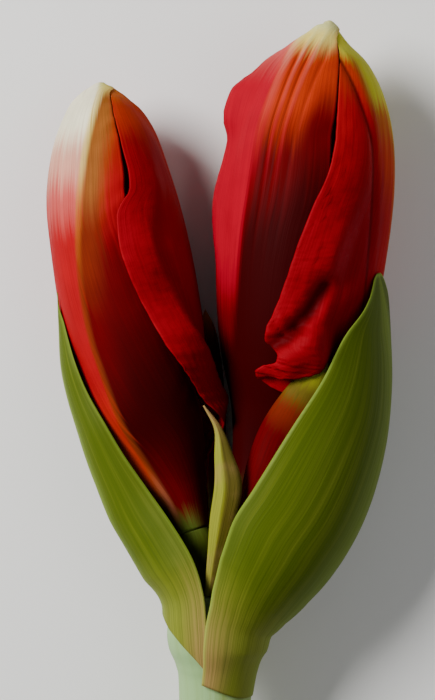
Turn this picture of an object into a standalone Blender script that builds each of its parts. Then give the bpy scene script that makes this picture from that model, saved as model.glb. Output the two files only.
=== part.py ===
"""A cut amaryllis in bud: a hollow scape, two green spathe valves and a bracteole, two large buds
about to open, each with six tepals, six stamens and a style, and two small closed buds.

The flower lies on its back on a flat surface, z = 0, with the cut end towards -Y and the bud tips
towards +Y. Shapes are worked out in millimetres from the scape's axis, and MM turns them into metres.

Petals, valves and stalks are wrapped on forms. A form is a list of evenly spaced stations along a
curved axis, each (x, y, z, half width, half depth). A place on it is a share of its length and an
angle round it: 0 is its right side, 90 its front, which is up, 180 its left side and 270 its back.
"""

import math
from collections import namedtuple

import bmesh
import bpy
import numpy as np

MM = 0.001
SKIN = 0.7            # thickness of a tepal or a valve
UNDER = -1.15         # how far one tepal tucks under another: a skin and a clear gap
OVER = 1.2            # how far a margin is lifted to lie over its neighbour
WELL_OVER = 1.5       # the same for a waved margin
INNER = -1.4          # place of the inner tepals under the outer ones
SEAT = 0.3            # clear gap between pieces that touch
TABLE = 0.0           # height of the surface that the flower lies on
STEP = 1e-3           # share of a form's length used to measure its slope
TURN = 0.5            # degrees used to measure a form's slope round it
MERGE = 2e-5          # metres within which a tip's points become one
FLAT = ((0.0, 0.0), (1.0, 0.0))
UP = np.array((0.0, 0.0, 1.0))
AHEAD = np.array((0.0, 1.0, 0.0))

RED = (0.52, 0.015, 0.025)
DEEP_RED = (0.34, 0.008, 0.018)
BUD_RED = (0.42, 0.07, 0.02)
VALVE_GREEN = (0.23, 0.30, 0.04)
PALE_GREEN = (0.55, 0.68, 0.36)
OVARY_GREEN = (0.16, 0.24, 0.06)
BRACTEOLE_YELLOW = (0.45, 0.42, 0.08)
ANTHER_CREAM = (0.80, 0.72, 0.40)

SCAPE = (
    (1.0, -126.0, 10.3, 10.6, 10.6),
    (0.7, -95.0, 12.8, 10.4, 10.4),
    (0.4, -60.0, 15.4, 10.0, 10.0),
    (0.2, -25.0, 18.0, 9.6, 9.6),
    (0.0, 2.0, 20.0, 9.4, 9.4),
    (0.0, 9.0, 20.6, 10.2, 10.2),
    (-0.1, 14.0, 21.0, 12.0, 11.6),
    (-0.2, 19.0, 21.3, 12.2, 11.8),
    (-0.2, 24.0, 21.8, 10.6, 10.4),
    (-0.2, 27.0, 21.8, 8.6, 8.6),
)
HOLLOW = (
    (1.0, -128.0, 10.2, 7.0, 7.0),
    (0.7, -95.0, 12.8, 7.0, 7.0),
    (0.4, -60.0, 15.4, 6.6, 6.6),
    (0.3, -40.0, 16.9, 6.0, 6.0),
)

LEFT_BUD = (
    (-5.4, 44.0, 20.4, 3.9, 3.9),
    (-8.1, 52.8, 19.8, 6.0, 6.0),
    (-12.2, 63.7, 18.9, 10.1, 10.0),
    (-16.9, 76.7, 18.0, 14.6, 14.4),
    (-20.0, 92.3, 17.3, 17.2, 17.0),
    (-22.9, 106.6, 17.2, 18.0, 18.0),
    (-25.4, 120.9, 17.3, 17.5, 18.0),
    (-27.6, 133.9, 17.8, 16.0, 16.8),
    (-28.8, 145.6, 18.4, 13.2, 13.8),
    (-29.4, 153.2, 18.8, 9.6, 10.0),
    (-29.4, 157.6, 19.0, 5.8, 6.0),
    (-29.3, 160.0, 19.1, 2.6, 2.8),
    (-29.1, 160.9, 19.1, 0.0, 0.0),
)
RIGHT_BUD = (
    (6.6, 42.5, 19.0, 3.9, 3.9),
    (9.4, 52.0, 17.8, 5.0, 5.0),
    (13.6, 63.5, 17.0, 8.2, 8.2),
    (17.6, 76.5, 17.6, 12.9, 13.0),
    (20.0, 89.7, 19.4, 17.6, 17.4),
    (21.8, 103.0, 20.8, 20.3, 20.0),
    (23.3, 118.0, 21.1, 21.6, 21.9),
    (25.2, 134.0, 21.3, 21.6, 22.1),
    (26.4, 148.6, 21.7, 20.0, 20.2),
    (27.4, 159.8, 22.1, 16.2, 16.2),
    (28.2, 167.8, 22.4, 10.8, 10.8),
    (28.6, 172.8, 22.6, 6.2, 6.2),
    (28.6, 175.6, 22.6, 2.9, 2.9),
    (28.6, 176.5, 22.6, 0.0, 0.0),
)
THIRD_BUD = (
    (7.8, 41.0, 29.6, 2.3, 2.3),
    (10.7, 50.0, 31.0, 4.7, 4.2),
    (13.8, 58.5, 31.8, 6.5, 5.2),
    (16.9, 66.3, 32.8, 7.0, 4.8),
    (20.0, 72.8, 35.0, 6.8, 4.0),
    (22.6, 78.4, 36.2, 5.0, 3.0),
    (25.0, 82.6, 36.6, 2.8, 1.8),
    (27.0, 85.6, 36.6, 0.0, 0.0),
)
FOURTH_BUD = (
    (-0.4, 45.0, 9.4, 2.2, 2.2),
    (0.0, 56.0, 7.2, 3.0, 2.8),
    (-0.6, 67.0, 5.6, 3.6, 3.4),
    (-1.2, 78.0, 5.2, 3.8, 3.6),
    (-1.8, 88.4, 5.4, 3.4, 3.3),
    (-2.2, 96.2, 5.8, 2.3, 2.2),
    (-2.6, 101.9, 6.2, 0.0, 0.0),
)
# A bud's stalk: the station on the scape's top where it starts, its half width, and its bud.
STALKS = {
    "left_stalk": ((-4.6, 27.3, 22.0, 2.6, 2.6), 3.5, LEFT_BUD),
    "right_stalk": ((4.4, 27.3, 20.6, 2.6, 2.6), 3.5, RIGHT_BUD),
    "third_stalk": ((3.4, 27.3, 26.2, 2.2, 2.2), 2.3, THIRD_BUD),
    "fourth_stalk": ((-0.2, 27.3, 15.6, 2.2, 2.2), 2.2, FOURTH_BUD),
}
LEFT_VALVE = (
    (0.0, 5.0, 20.4, 11.0, 11.0),
    (-0.1, 13.0, 21.0, 13.1, 12.8),
    (-0.4, 20.0, 21.4, 13.4, 13.0),
    (-1.8, 28.6, 21.4, 12.8, 12.8),
    (-5.0, 37.7, 21.0, 15.0, 13.6),
    (-11.0, 47.0, 20.6, 14.6, 14.0),
    (-17.6, 54.6, 20.2, 12.6, 13.4),
    (-24.7, 63.4, 19.6, 9.0, 12.4),
    (-30.4, 72.0, 19.0, 6.2, 11.2),
    (-34.4, 80.0, 18.6, 4.6, 9.6),
    (-37.4, 88.0, 18.2, 3.2, 7.4),
    (-39.9, 97.5, 18.0, 1.6, 4.2),
    (-41.7, 106.1, 18.0, 0.3, 1.2),
)
RIGHT_VALVE = (
    (0.3, 1.5, 20.1, 10.5, 10.5),
    (0.3, 8.0, 20.6, 11.2, 11.2),
    (0.5, 14.0, 21.0, 13.1, 12.9),
    (1.8, 20.8, 21.4, 13.8, 13.3),
    (4.6, 27.0, 21.6, 15.6, 14.9),
    (8.6, 34.0, 21.6, 18.0, 17.0),
    (12.8, 42.0, 21.6, 20.4, 18.8),
    (17.2, 52.0, 21.6, 22.0, 20.2),
    (20.4, 62.0, 21.6, 22.6, 20.8),
    (22.8, 73.0, 21.5, 22.6, 21.0),
    (24.4, 84.0, 21.4, 21.8, 20.9),
    (24.7, 95.0, 21.3, 21.1, 21.0),
    (24.2, 103.0, 21.4, 21.9, 21.9),
    (23.2, 110.5, 21.5, 23.1, 23.1),
)
BRACTEOLE = (
    (-1.4, 27.4, 29.4, 1.4, 0.8),
    (0.2, 38.0, 32.2, 2.2, 1.1),
    (2.0, 47.0, 34.2, 3.4, 1.5),
    (3.4, 56.0, 36.6, 3.6, 1.8),
    (2.2, 64.0, 37.8, 2.4, 1.6),
    (0.2, 71.0, 38.2, 1.2, 1.2),
    (-2.6, 76.0, 38.6, 0.5, 0.5),
)

# A blade on a form. high and low are its two margins, as (share, angle) knots, and pace says where
# its rows lie. layer lifts the whole blade off the form, and high_lift and low_lift its margins, over
# a band that reach gives as millimetres held and millimetres faded. wave is the size and number of
# the waves along a margin, and scoop how far the middle of the base starts up the form.
Petal = namedtuple(
    "Petal", "form high low pace layer high_lift low_lift reach wave scoop",
    defaults=(((0.0, 0.0), (1.0, 1.0)), FLAT, FLAT, FLAT, (5.0, 5.0), (0.0, 1), 0.0))

LEFT_FRONT = Petal(
    LEFT_BUD,
    high=((0.0, 172), (0.10, 185), (0.25, 203), (0.50, 212), (0.80, 212), (0.87, 232), (0.93, 255),
          (1.0, 265)),
    low=((0.0, -2), (0.10, -4), (0.17, 4), (0.24, 28), (0.33, 56), (0.41, 68), (0.48, 74), (0.53, 77.5),
         (0.57, 77.5), (0.62, 75.5), (0.72, 74.5), (0.80, 71), (0.83, 69), (0.86, 58), (0.90, 10),
         (0.93, -40), (1.0, -70)),
    high_lift=((0.0, 0.0), (0.06, 0.3), (0.12, OVER), (0.80, OVER), (0.87, 0.0), (1.0, 0.0)),
    wave=(0.4, 4))
LEFT_FLAP = Petal(
    LEFT_BUD,
    high=((0.0, -10), (0.14, -12), (0.17, -6), (0.19, 10), (0.205, 26), (0.235, 40), (0.264, 50),
          (0.296, 62), (0.326, 71), (0.372, 77.5), (0.41, 82.5), (0.445, 86.6), (0.48, 89), (0.53, 87),
          (0.55, 81.5), (0.57, 72.5), (0.615, 69.5), (0.66, 70.4), (0.73, 71), (0.80, 67), (0.83, 64),
          (0.86, 60), (0.90, 45), (0.915, 20)),
    low=((0.0, -100), (0.15, -80), (0.30, -52), (0.50, -48), (0.80, -46), (0.86, -32), (0.90, -5),
         (0.915, 20)),
    pace=((0.0, 0.0), (0.25, 0.19), (0.50, 0.38), (1.0, 0.915)),
    layer=((0.0, 0.0), (0.80, 0.0), (0.87, UNDER), (1.0, UNDER)),
    high_lift=((0.0, 0.0), (0.14, 0.5), (0.17, 2.4), (0.195, 5.2), (0.21, 6.2), (0.24, 6.2), (0.27, 6.0),
               (0.33, 4.6), (0.40, 3.2), (0.48, 2.2), (0.54, 1.7), (0.57, 1.5), (0.59, 1.2), (0.62, 0.5),
               (0.66, 0.0), (1.0, 0.0)),
    low_lift=((0.0, 0.0), (0.08, 0.5), (0.15, WELL_OVER), (0.78, WELL_OVER), (0.85, 0.0), (1.0, 0.0)),
    reach=(7.0, 6.0), wave=(0.5, 7))
LEFT_BACK = Petal(
    LEFT_BUD,
    high=((0.0, 250), (0.12, 264), (0.20, 290), (0.30, 316), (0.50, 321), (0.74, 320), (0.80, 309),
          (0.86, 299), (0.90, 280), (0.915, 262)),
    low=((0.0, 178), (0.10, 190), (0.25, 196), (0.50, 201), (0.80, 201), (0.86, 214), (0.90, 243),
         (0.915, 262)),
    pace=((0.0, 0.0), (1.0, 0.915)),
    layer=((0.0, 0.0), (0.80, 0.0), (0.87, UNDER), (1.0, UNDER)))
RIGHT_LEFT = Petal(
    RIGHT_BUD,
    high=((0.0, 165), (0.10, 175), (0.25, 190), (0.50, 196), (0.80, 198), (0.87, 226), (0.93, 255),
          (1.0, 270)),
    low=((0.0, 0), (0.10, 5), (0.20, 22), (0.26, 50), (0.30, 80), (0.38, 89), (0.47, 84), (0.52, 80),
         (0.56, 79.5), (0.60, 81), (0.636, 79), (0.70, 76), (0.763, 70.5), (0.80, 67.5), (0.83, 62),
         (0.86, 46), (0.89, 8), (0.92, -42), (1.0, -75)),
    pace=((0.0, 0.0), (0.60, 0.58), (1.0, 1.0)),
    high_lift=((0.0, 0.0), (0.06, 0.5), (0.12, 1.2), (0.42, 1.3), (0.505, 3.4), (0.585, 2.2), (0.625, 5.0),
               (0.655, 5.2), (0.70, 2.4), (0.74, 1.3), (0.79, 0.0), (1.0, 0.0)),
    reach=(5.0, 8.0))
RIGHT_FLAP = Petal(
    RIGHT_BUD,
    high=((0.0, -15), (0.15, 5), (0.25, 12), (0.275, 30), (0.29, 52), (0.302, 84), (0.312, 104),
          (0.325, 110), (0.345, 109), (0.379, 106), (0.42, 100), (0.475, 93.5), (0.512, 88.5), (0.548, 82),
          (0.59, 77), (0.636, 74), (0.70, 71.5), (0.763, 65), (0.80, 62.5), (0.83, 60), (0.86, 54),
          (0.885, 42), (0.90, 20)),
    low=((0.0, -107), (0.15, -78), (0.30, -62), (0.50, -60), (0.80, -58), (0.85, -42), (0.885, -6),
         (0.90, 20)),
    pace=((0.0, 0.0), (0.20, 0.27), (0.46, 0.33), (1.0, 0.90)),
    layer=((0.0, 0.0), (0.75, 0.0), (0.83, UNDER), (1.0, UNDER)),
    high_lift=((0.0, 0.0), (0.15, 0.8), (0.20, 1.5), (0.25, 3.6), (0.29, 5.2), (0.33, 5.6), (0.37, 4.6),
               (0.42, 3.6), (0.50, 2.6), (0.56, 1.6), (0.60, 1.0), (0.64, 0.3), (0.68, 0.0), (1.0, 0.0)),
    low_lift=((0.0, 0.0), (0.08, 0.5), (0.15, WELL_OVER), (0.74, WELL_OVER), (0.81, 0.0), (1.0, 0.0)),
    reach=(8.0, 7.0), wave=(0.5, 7))
RIGHT_BACK = Petal(
    RIGHT_BUD,
    high=((0.0, 245), (0.12, 260), (0.20, 285), (0.30, 304), (0.50, 309), (0.70, 309), (0.76, 300),
          (0.82, 293), (0.88, 275), (0.90, 262)),
    low=((0.0, 171), (0.10, 178), (0.25, 181), (0.50, 184), (0.76, 186), (0.83, 205), (0.88, 244),
         (0.90, 262)),
    pace=((0.0, 0.0), (1.0, 0.90)),
    layer=((0.0, 0.0), (0.66, 0.0), (0.77, UNDER), (1.0, UNDER)))
VALVE_LEFT = Petal(
    LEFT_VALVE,
    high=((0.0, 250), (0.40, 262), (0.70, 262), (0.92, 250), (1.0, 181)),
    low=((0.0, 112), (0.16, 111), (0.30, 99), (0.42, 92), (0.60, 90), (0.80, 90), (0.92, 95), (1.0, 179)),
    scoop=0.19)
VALVE_RIGHT = Petal(
    RIGHT_VALVE,
    high=((0.0, 106), (0.15, 106), (0.25, 108), (0.31, 112), (0.385, 117), (0.46, 118), (0.54, 112),
          (0.615, 105), (0.69, 95), (0.77, 81), (0.846, 65), (0.92, 47), (1.0, 29)),
    low=((0.0, -105), (0.45, -102), (0.70, -88), (0.85, -52), (0.92, -26), (0.96, -2), (0.985, 16),
         (1.0, 27)),
    pace=((0.0, 0.0), (0.60, 0.70), (1.0, 1.0)))

OUTER_TEPALS = {
    "left_outer_tepal_front": LEFT_FRONT,
    "left_outer_tepal_flap": LEFT_FLAP,
    "left_outer_tepal_back": LEFT_BACK,
    "right_outer_tepal_left": RIGHT_LEFT,
    "right_outer_tepal_flap": RIGHT_FLAP,
    "right_outer_tepal_back": RIGHT_BACK,
}
VALVES = {"spathe_valve_left": VALVE_LEFT, "spathe_valve_right": VALVE_RIGHT}
INNER_MIDDLES = {"left": (LEFT_BUD, (72, 192, 312)), "right": (RIGHT_BUD, (75, 195, 315))}
INNER_START = 0.03    # shares of a bud between which its inner tepals lie
INNER_END = 0.83
INNER_HALF_ANGLE = 55
STAMENS = 6

Look = namedtuple("Look", "colour roughness")
OUTER_GRID = (18, 10)  # rows and columns of a blade's faces
INNER_GRID = (10, 5)
VALVE_GRID = (14, 12)


def smooth(points, share):
    """The place on a smooth curve through evenly spaced points, at a share of its length."""
    rows = np.asarray(points, dtype=float)
    rows = np.vstack((2 * rows[0] - rows[1], rows, 2 * rows[-1] - rows[-2]))
    place = np.clip(share, 0.0, 1.0) * (len(points) - 1)
    first = np.minimum(place.astype(int), len(points) - 2)
    part = (place - first)[..., None]
    a, b, c, d = rows[first], rows[first + 1], rows[first + 2], rows[first + 3]
    bend = (2 * a - 5 * b + 4 * c - d) * part + (3 * b - a - 3 * c + d) * part ** 2
    return b + 0.5 * part * (c - a + bend)


def curve(knots, at):
    """A smooth line through (place, value) knots that never overshoots them."""
    x, y = np.array(knots, dtype=float).T
    rise = np.diff(y) / np.diff(x)
    slope = np.zeros(len(x))
    same_way = rise[1:] * rise[:-1] > 0
    inner = 2 * rise[1:] * rise[:-1] / np.where(same_way, rise[1:] + rise[:-1], 1.0)
    slope[1:-1] = np.where(same_way, inner, 0.0)
    slope[0], slope[-1] = rise[0], rise[-1]
    at = np.clip(at, x[0], x[-1])
    k = np.clip(np.searchsorted(x, at, side="right") - 1, 0, len(x) - 2)
    width = x[k + 1] - x[k]
    t = (at - x[k]) / width
    from_start = (1 + 2 * t) * (1 - t) ** 2 * y[k] + t * (1 - t) ** 2 * width * slope[k]
    return from_start + t * t * (3 - 2 * t) * y[k + 1] - t * t * (1 - t) * width * slope[k + 1]


def ease(value):
    """0 to 1, with no corner at either end."""
    value = np.clip(value, 0.0, 1.0)
    return value * value * (3 - 2 * value)


def unit(vectors):
    return vectors / np.maximum(np.linalg.norm(vectors, axis=-1, keepdims=True), 1e-9)


def on_form(form, share, angle):
    """Points on a form's surface, in millimetres."""
    rows = smooth(form, share)
    along = unit((smooth(form, share + STEP) - smooth(form, share - STEP))[..., :3])
    across = unit(np.cross(along, UP))
    front = np.cross(across, along)
    turn = np.radians(angle)[..., None]
    half_width = np.maximum(rows[..., 3:4], 0.0)
    half_depth = np.maximum(rows[..., 4:5], 0.0)
    return rows[..., :3] + across * half_width * np.cos(turn) + front * half_depth * np.sin(turn)


def outward(form, share, angle):
    """Unit vectors that point out of a form's surface, and along its axis at a closed tip."""
    rows = smooth(form, share)
    along = unit((smooth(form, share + STEP) - smooth(form, share - STEP))[..., :3])
    lengthwise = on_form(form, share + STEP, angle) - on_form(form, share - STEP, angle)
    round_it = on_form(form, share, angle + TURN) - on_form(form, share, angle - TURN)
    return np.where(rows[..., 3:4] < 0.05, along, unit(np.cross(lengthwise, round_it)))


def finish(bm, name, look):
    """Makes a mesh into an object with its own material."""
    mesh = bpy.data.meshes.new(name)
    bm.to_mesh(mesh)
    bm.free()
    mesh.shade_smooth()
    material = bpy.data.materials.new(name)
    material.use_nodes = True
    shader = material.node_tree.nodes["Principled BSDF"]
    shader.inputs["Base Color"].default_value = (*look.colour, 1.0)
    shader.inputs["Roughness"].default_value = look.roughness
    mesh.materials.append(material)
    piece = bpy.data.objects.new(name, mesh)
    bpy.context.collection.objects.link(piece)
    return piece


def wrapped_grid(rows, columns, place, floor=TABLE):
    """A grid whose points are moved to place(share across, share along), faces outwards."""
    bm = bmesh.new()
    bmesh.ops.create_grid(bm, x_segments=columns, y_segments=rows, size=0.5)
    flat = np.array([vert.co[:2] for vert in bm.verts]) + 0.5
    points = place(flat[:, 0], flat[:, 1])
    points[:, 2] = np.maximum(points[:, 2], floor)
    for vert, point in zip(bm.verts, points * MM):
        vert.co = point
    bmesh.ops.triangulate(bm, faces=bm.faces[:], quad_method="FIXED")
    bmesh.ops.remove_doubles(bm, verts=bm.verts[:], dist=MERGE)
    return bm


def blade(name, shape, look, grid, floor=TABLE):
    """A thin curved blade on a form, with lifted and waved margins."""
    def place(across, along):
        share = curve(shape.pace, along)
        share = share + shape.scoop * np.sin(math.pi * across) * (1 - along) ** 3
        high, low = curve(shape.high, share), curve(shape.low, share)
        angle = high + (low - high) * across
        width = np.maximum(smooth(shape.form, share)[:, 3], 0.5)
        hold, fade = shape.reach
        size, waves = shape.wave
        offset = curve(shape.layer, share)
        for edge, lift in ((high, shape.high_lift), (low, shape.low_lift)):
            away = np.abs(angle - edge) * np.radians(1.0) * width
            near = 1 - ease((away - hold) / fade)
            wave = 1 + 0.5 * size * np.sin(2 * math.pi * waves * along) * near ** 2
            offset = offset + curve(lift, share) * near * wave
        return on_form(shape.form, share, angle) + outward(shape.form, share, angle) * offset[:, None]

    piece = finish(wrapped_grid(*grid, place, floor), name, look)
    wall = piece.modifiers.new("Wall", "SOLIDIFY")
    wall.thickness = SKIN * MM
    wall.offset = -1.0
    wall.use_even_offset = False
    return piece


def rod(name, form, look, sides, rows):
    """A solid stem or a closed bud: a form's whole surface, with its open ends filled."""
    def place(across, along):
        return on_form(form, along, 360.0 * (1 - across))

    bm = wrapped_grid(rows, sides, place)
    bmesh.ops.holes_fill(bm, edges=[edge for edge in bm.edges if edge.is_boundary], sides=0)
    bmesh.ops.recalc_face_normals(bm, faces=bm.faces[:])
    return finish(bm, name, look)


def build_scape():
    """The hollow stem. Its hollow is open at the cut end and closed under the swollen top."""
    scape = rod("scape", SCAPE, Look(PALE_GREEN, 0.5), 20, 18)
    hollow = rod("scape_hollow", HOLLOW, Look(PALE_GREEN, 0.5), 12, 6)
    hollow.hide_render = True
    hollow.display_type = "WIRE"
    cut = scape.modifiers.new("Hollow", "BOOLEAN")
    cut.operation = "DIFFERENCE"
    cut.solver = "EXACT"
    cut.object = hollow


def stalk_form(root, thickness, bud):
    """A pedicel and ovary from the scape's top that meets a bud's base squarely."""
    first, second = np.array(bud[0]), np.array(bud[1])
    along = unit((second - first)[:3])
    end = first[:3] - along * SEAT
    reach = np.linalg.norm(end - np.array(root[:3])) / 3
    low, high = np.array(root[:3]) + reach * AHEAD, end - reach * along
    return root, (*low, thickness, thickness), (*high, thickness, thickness), (*end, thickness, thickness)


def inner_tepal(name, form, middle):
    """One of the three inner tepals, which lie edge to edge inside the outer ones."""
    narrow = ((0.0, 0.9), (0.65, 1.0), (0.93, 0.55), (1.0, 0.0))
    high = tuple((share * INNER_END, middle + INNER_HALF_ANGLE * half) for share, half in narrow)
    low = tuple((share * INNER_END, middle - INNER_HALF_ANGLE * half) for share, half in narrow)
    layer = ((0.0, INNER), (0.60, INNER), (0.74, INNER + UNDER), (1.0, INNER + UNDER))
    shape = Petal(form, high, low, ((0.0, INNER_START), (1.0, INNER_END)), layer)
    return blade(name, shape, Look(DEEP_RED, 0.45), INNER_GRID, TABLE + SKIN + 1.5 * SEAT)


def fuse(name, pieces, look):
    """Joins overlapping pieces into one solid."""
    rest = bpy.data.collections.new(name + "_pieces")
    for piece in pieces[1:]:
        rest.objects.link(piece)
    union = pieces[0].modifiers.new("Union", "BOOLEAN")
    union.operation = "UNION"
    union.solver = "EXACT"
    union.operand_type = "COLLECTION"
    union.collection = rest
    evaluated = pieces[0].evaluated_get(bpy.context.evaluated_depsgraph_get())
    bm = bmesh.new()
    bm.from_mesh(evaluated.to_mesh())
    for piece in pieces:
        bpy.data.objects.remove(piece, do_unlink=True)
    bpy.data.collections.remove(rest)
    return finish(bm, name, look)


def inside(bud, start, end, aside, turn, radii):
    """Stations for a thread inside a bud, standing aside from its axis by a share of its width."""
    share = np.linspace(start, end, len(radii))
    axis = smooth(bud, share)
    away = (on_form(bud, share, np.full(len(radii), turn)) - axis[:, :3]) * aside
    return [(*point, radius, radius) for point, radius in zip(axis[:, :3] + away, radii)]


def build_stamens(name, bud):
    """Six stamens and the longer style with its stigma, on the column that they stand on."""
    look = Look(ANTHER_CREAM, 0.5)
    column = inside(bud, 0.0, 0.11, 0.0, 0.0, (1.5, 1.6, 2.0, 2.3))
    pieces = [rod("column", column, look, 10, 4)]
    for number in range(STAMENS):
        turn = 360.0 * number / STAMENS
        filament = inside(bud, 0.09, 0.50, 0.34, turn, (0.6, 0.6, 0.5, 0.45))
        anther = inside(bud, 0.46, 0.60, 0.34, turn, (0.0, 1.2, 1.3, 1.2, 0.0))
        pieces.append(rod("filament", filament, look, 4, 6))
        pieces.append(rod("anther", anther, look, 6, 5))
    style = inside(bud, 0.09, 0.66, 0.0, 0.0, (0.9, 0.8, 0.7, 0.7))
    stigma = inside(bud, 0.64, 0.68, 0.0, 0.0, (0.0, 1.4, 1.4, 0.0))
    pieces.append(rod("style", style, look, 6, 6))
    pieces.append(rod("stigma", stigma, look, 6, 4))
    return fuse(name, pieces, look)


def settle():
    """Hangs every piece on an empty that puts the middle of the whole flower over the origin."""
    pieces = [piece for piece in bpy.data.objects if piece.type == "MESH"]
    seen = [piece for piece in pieces if not piece.hide_render]
    corners = np.array([vert.co for piece in seen for vert in piece.data.vertices])
    middle = (corners.min(axis=0) + corners.max(axis=0)) / 2
    flower = bpy.data.objects.new("amaryllis", None)
    flower.location = (-middle[0], -middle[1], -TABLE * MM)
    bpy.context.collection.objects.link(flower)
    for piece in pieces:
        piece.parent = flower


def main():
    for leftover in list(bpy.data.objects):
        bpy.data.objects.remove(leftover, do_unlink=True)
    build_scape()
    for name, shape in OUTER_TEPALS.items():
        blade(name, shape, Look(RED, 0.45), OUTER_GRID)
    for side, (bud, middles) in INNER_MIDDLES.items():
        for number, middle in enumerate(middles, start=1):
            inner_tepal(f"{side}_inner_tepal_{number}", bud, middle)
    for name, shape in VALVES.items():
        blade(name, shape, Look(VALVE_GREEN, 0.5), VALVE_GRID)
    for name, (root, thickness, bud) in STALKS.items():
        rod(name, stalk_form(root, thickness, bud), Look(OVARY_GREEN, 0.4), 10, 4)
    build_stamens("left_stamens", LEFT_BUD)
    build_stamens("right_stamens", RIGHT_BUD)
    rod("third_bud", THIRD_BUD, Look(BUD_RED, 0.4), 12, 14)
    rod("fourth_bud", FOURTH_BUD, Look(BUD_RED, 0.4), 12, 10)
    rod("bracteole", BRACTEOLE, Look(BRACTEOLE_YELLOW, 0.5), 10, 14)
    settle()


main()
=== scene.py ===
"""Looks for a cut amaryllis in bud: the tepals of two large buds, two small buds, the spathe valves,
the bracteole, the stalks and the hollow scape, on a pale floor under soft light.

Shapes are worked out in the solids' own millimetres. MM and SHIFT take them into the frame. A form is
a list of evenly spaced stations along a curved axis, each (x, y, z, half width, half depth). A place
on it is a share of its length and an angle round it: 0 is its right side, 90 its front, which is up,
180 its left side and 270 its back.
"""

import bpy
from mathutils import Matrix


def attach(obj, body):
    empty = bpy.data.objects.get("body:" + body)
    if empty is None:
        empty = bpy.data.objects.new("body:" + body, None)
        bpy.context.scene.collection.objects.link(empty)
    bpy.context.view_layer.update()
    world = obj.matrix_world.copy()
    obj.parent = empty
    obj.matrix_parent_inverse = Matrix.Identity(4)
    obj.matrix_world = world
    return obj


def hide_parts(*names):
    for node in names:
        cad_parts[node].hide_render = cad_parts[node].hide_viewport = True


bl_info = {
    "name": "Amaryllis in bud",
    "version": (1, 0, 0),
    "blender": (4, 5, 0),
    "location": "3D View > Sidebar > Amaryllis",
    "description": "Builds the pieces of a cut amaryllis in bud, and its stage",
    "category": "Add Mesh",
}

import math
from collections import namedtuple

import bmesh
import bpy
import numpy as np
from mathutils import Vector

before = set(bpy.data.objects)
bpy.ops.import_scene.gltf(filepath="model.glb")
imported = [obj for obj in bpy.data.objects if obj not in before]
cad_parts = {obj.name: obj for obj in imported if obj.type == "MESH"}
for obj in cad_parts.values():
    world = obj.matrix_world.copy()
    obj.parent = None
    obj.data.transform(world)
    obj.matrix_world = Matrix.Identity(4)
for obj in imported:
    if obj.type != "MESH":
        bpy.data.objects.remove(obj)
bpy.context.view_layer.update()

MM = 0.001            # metres
# Millimetres, unless a line says otherwise.
SKIN = 0.7            # thickness of a tepal or a valve
UNDER = -0.45         # how far one tepal tucks under the thin hood of another
OVER = 1.2            # how far a margin is lifted to lie over its neighbour
WELL_OVER = 1.5       # the same for a waved margin
INNER = -1.4          # place of the inner tepals under the outer ones
INNER_UNDER = -1.15   # how much deeper their tips lie
SEAT = 0.3            # clear gap between pieces that touch
STALK_SEAT = 0.2      # how far a stalk reaches into its bud
TABLE = 0.0           # height of the surface that the flower lies on
STEP = 1e-3           # share of a form's length used to measure its slope
TURN = 0.5            # degrees used to measure a form's slope round it
MERGE = 2e-5          # metres within which a tip's points become one
MARGIN_STEPS = 240    # places along a margin from which distances are measured
EDGE_WALL = 0.35      # share of the wall's thickness that is left at a margin
EDGE_TAPER = 4.0      # how far in from a margin the wall thins towards it
BASE_TAPER = 0.05     # share of a blade over which its wall thins towards the base
HOOD_START = 0.72     # shares of a blade where its tip starts to thin, and over which it does
HOOD_FADE = 0.10
FOLDS_FADE = 0.3      # upward part of a surface's direction under which folds fade out
SHARP = 0.8           # radians, past which an edge is left sharp
FLAT = ((0.0, 0.0), (1.0, 0.0))
UP = np.array((0.0, 0.0, 1.0))
AHEAD = np.array((0.0, 1.0, 0.0))

SCAPE = (
    (1.0, -126.0, 10.3, 10.6, 10.6),
    (0.7, -95.0, 12.8, 10.4, 10.4),
    (0.4, -60.0, 15.4, 10.0, 10.0),
    (0.2, -25.0, 18.0, 9.6, 9.6),
    (0.0, 2.0, 20.0, 9.4, 9.4),
    (0.0, 9.0, 20.6, 10.2, 10.2),
    (-0.1, 14.0, 21.0, 12.0, 11.6),
    (-0.2, 19.0, 21.3, 12.2, 11.8),
    (-0.2, 24.0, 21.8, 10.6, 10.4),
    (-0.2, 27.0, 21.8, 8.6, 8.6),
)
SCAPE_BORE = (
    (1.0, -126.0, 10.3, 7.0, 7.0),
    (0.7, -95.0, 12.8, 7.0, 7.0),
    (0.4, -60.0, 15.4, 6.6, 6.6),
    (0.3, -40.0, 16.9, 6.0, 6.0),
)

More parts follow.
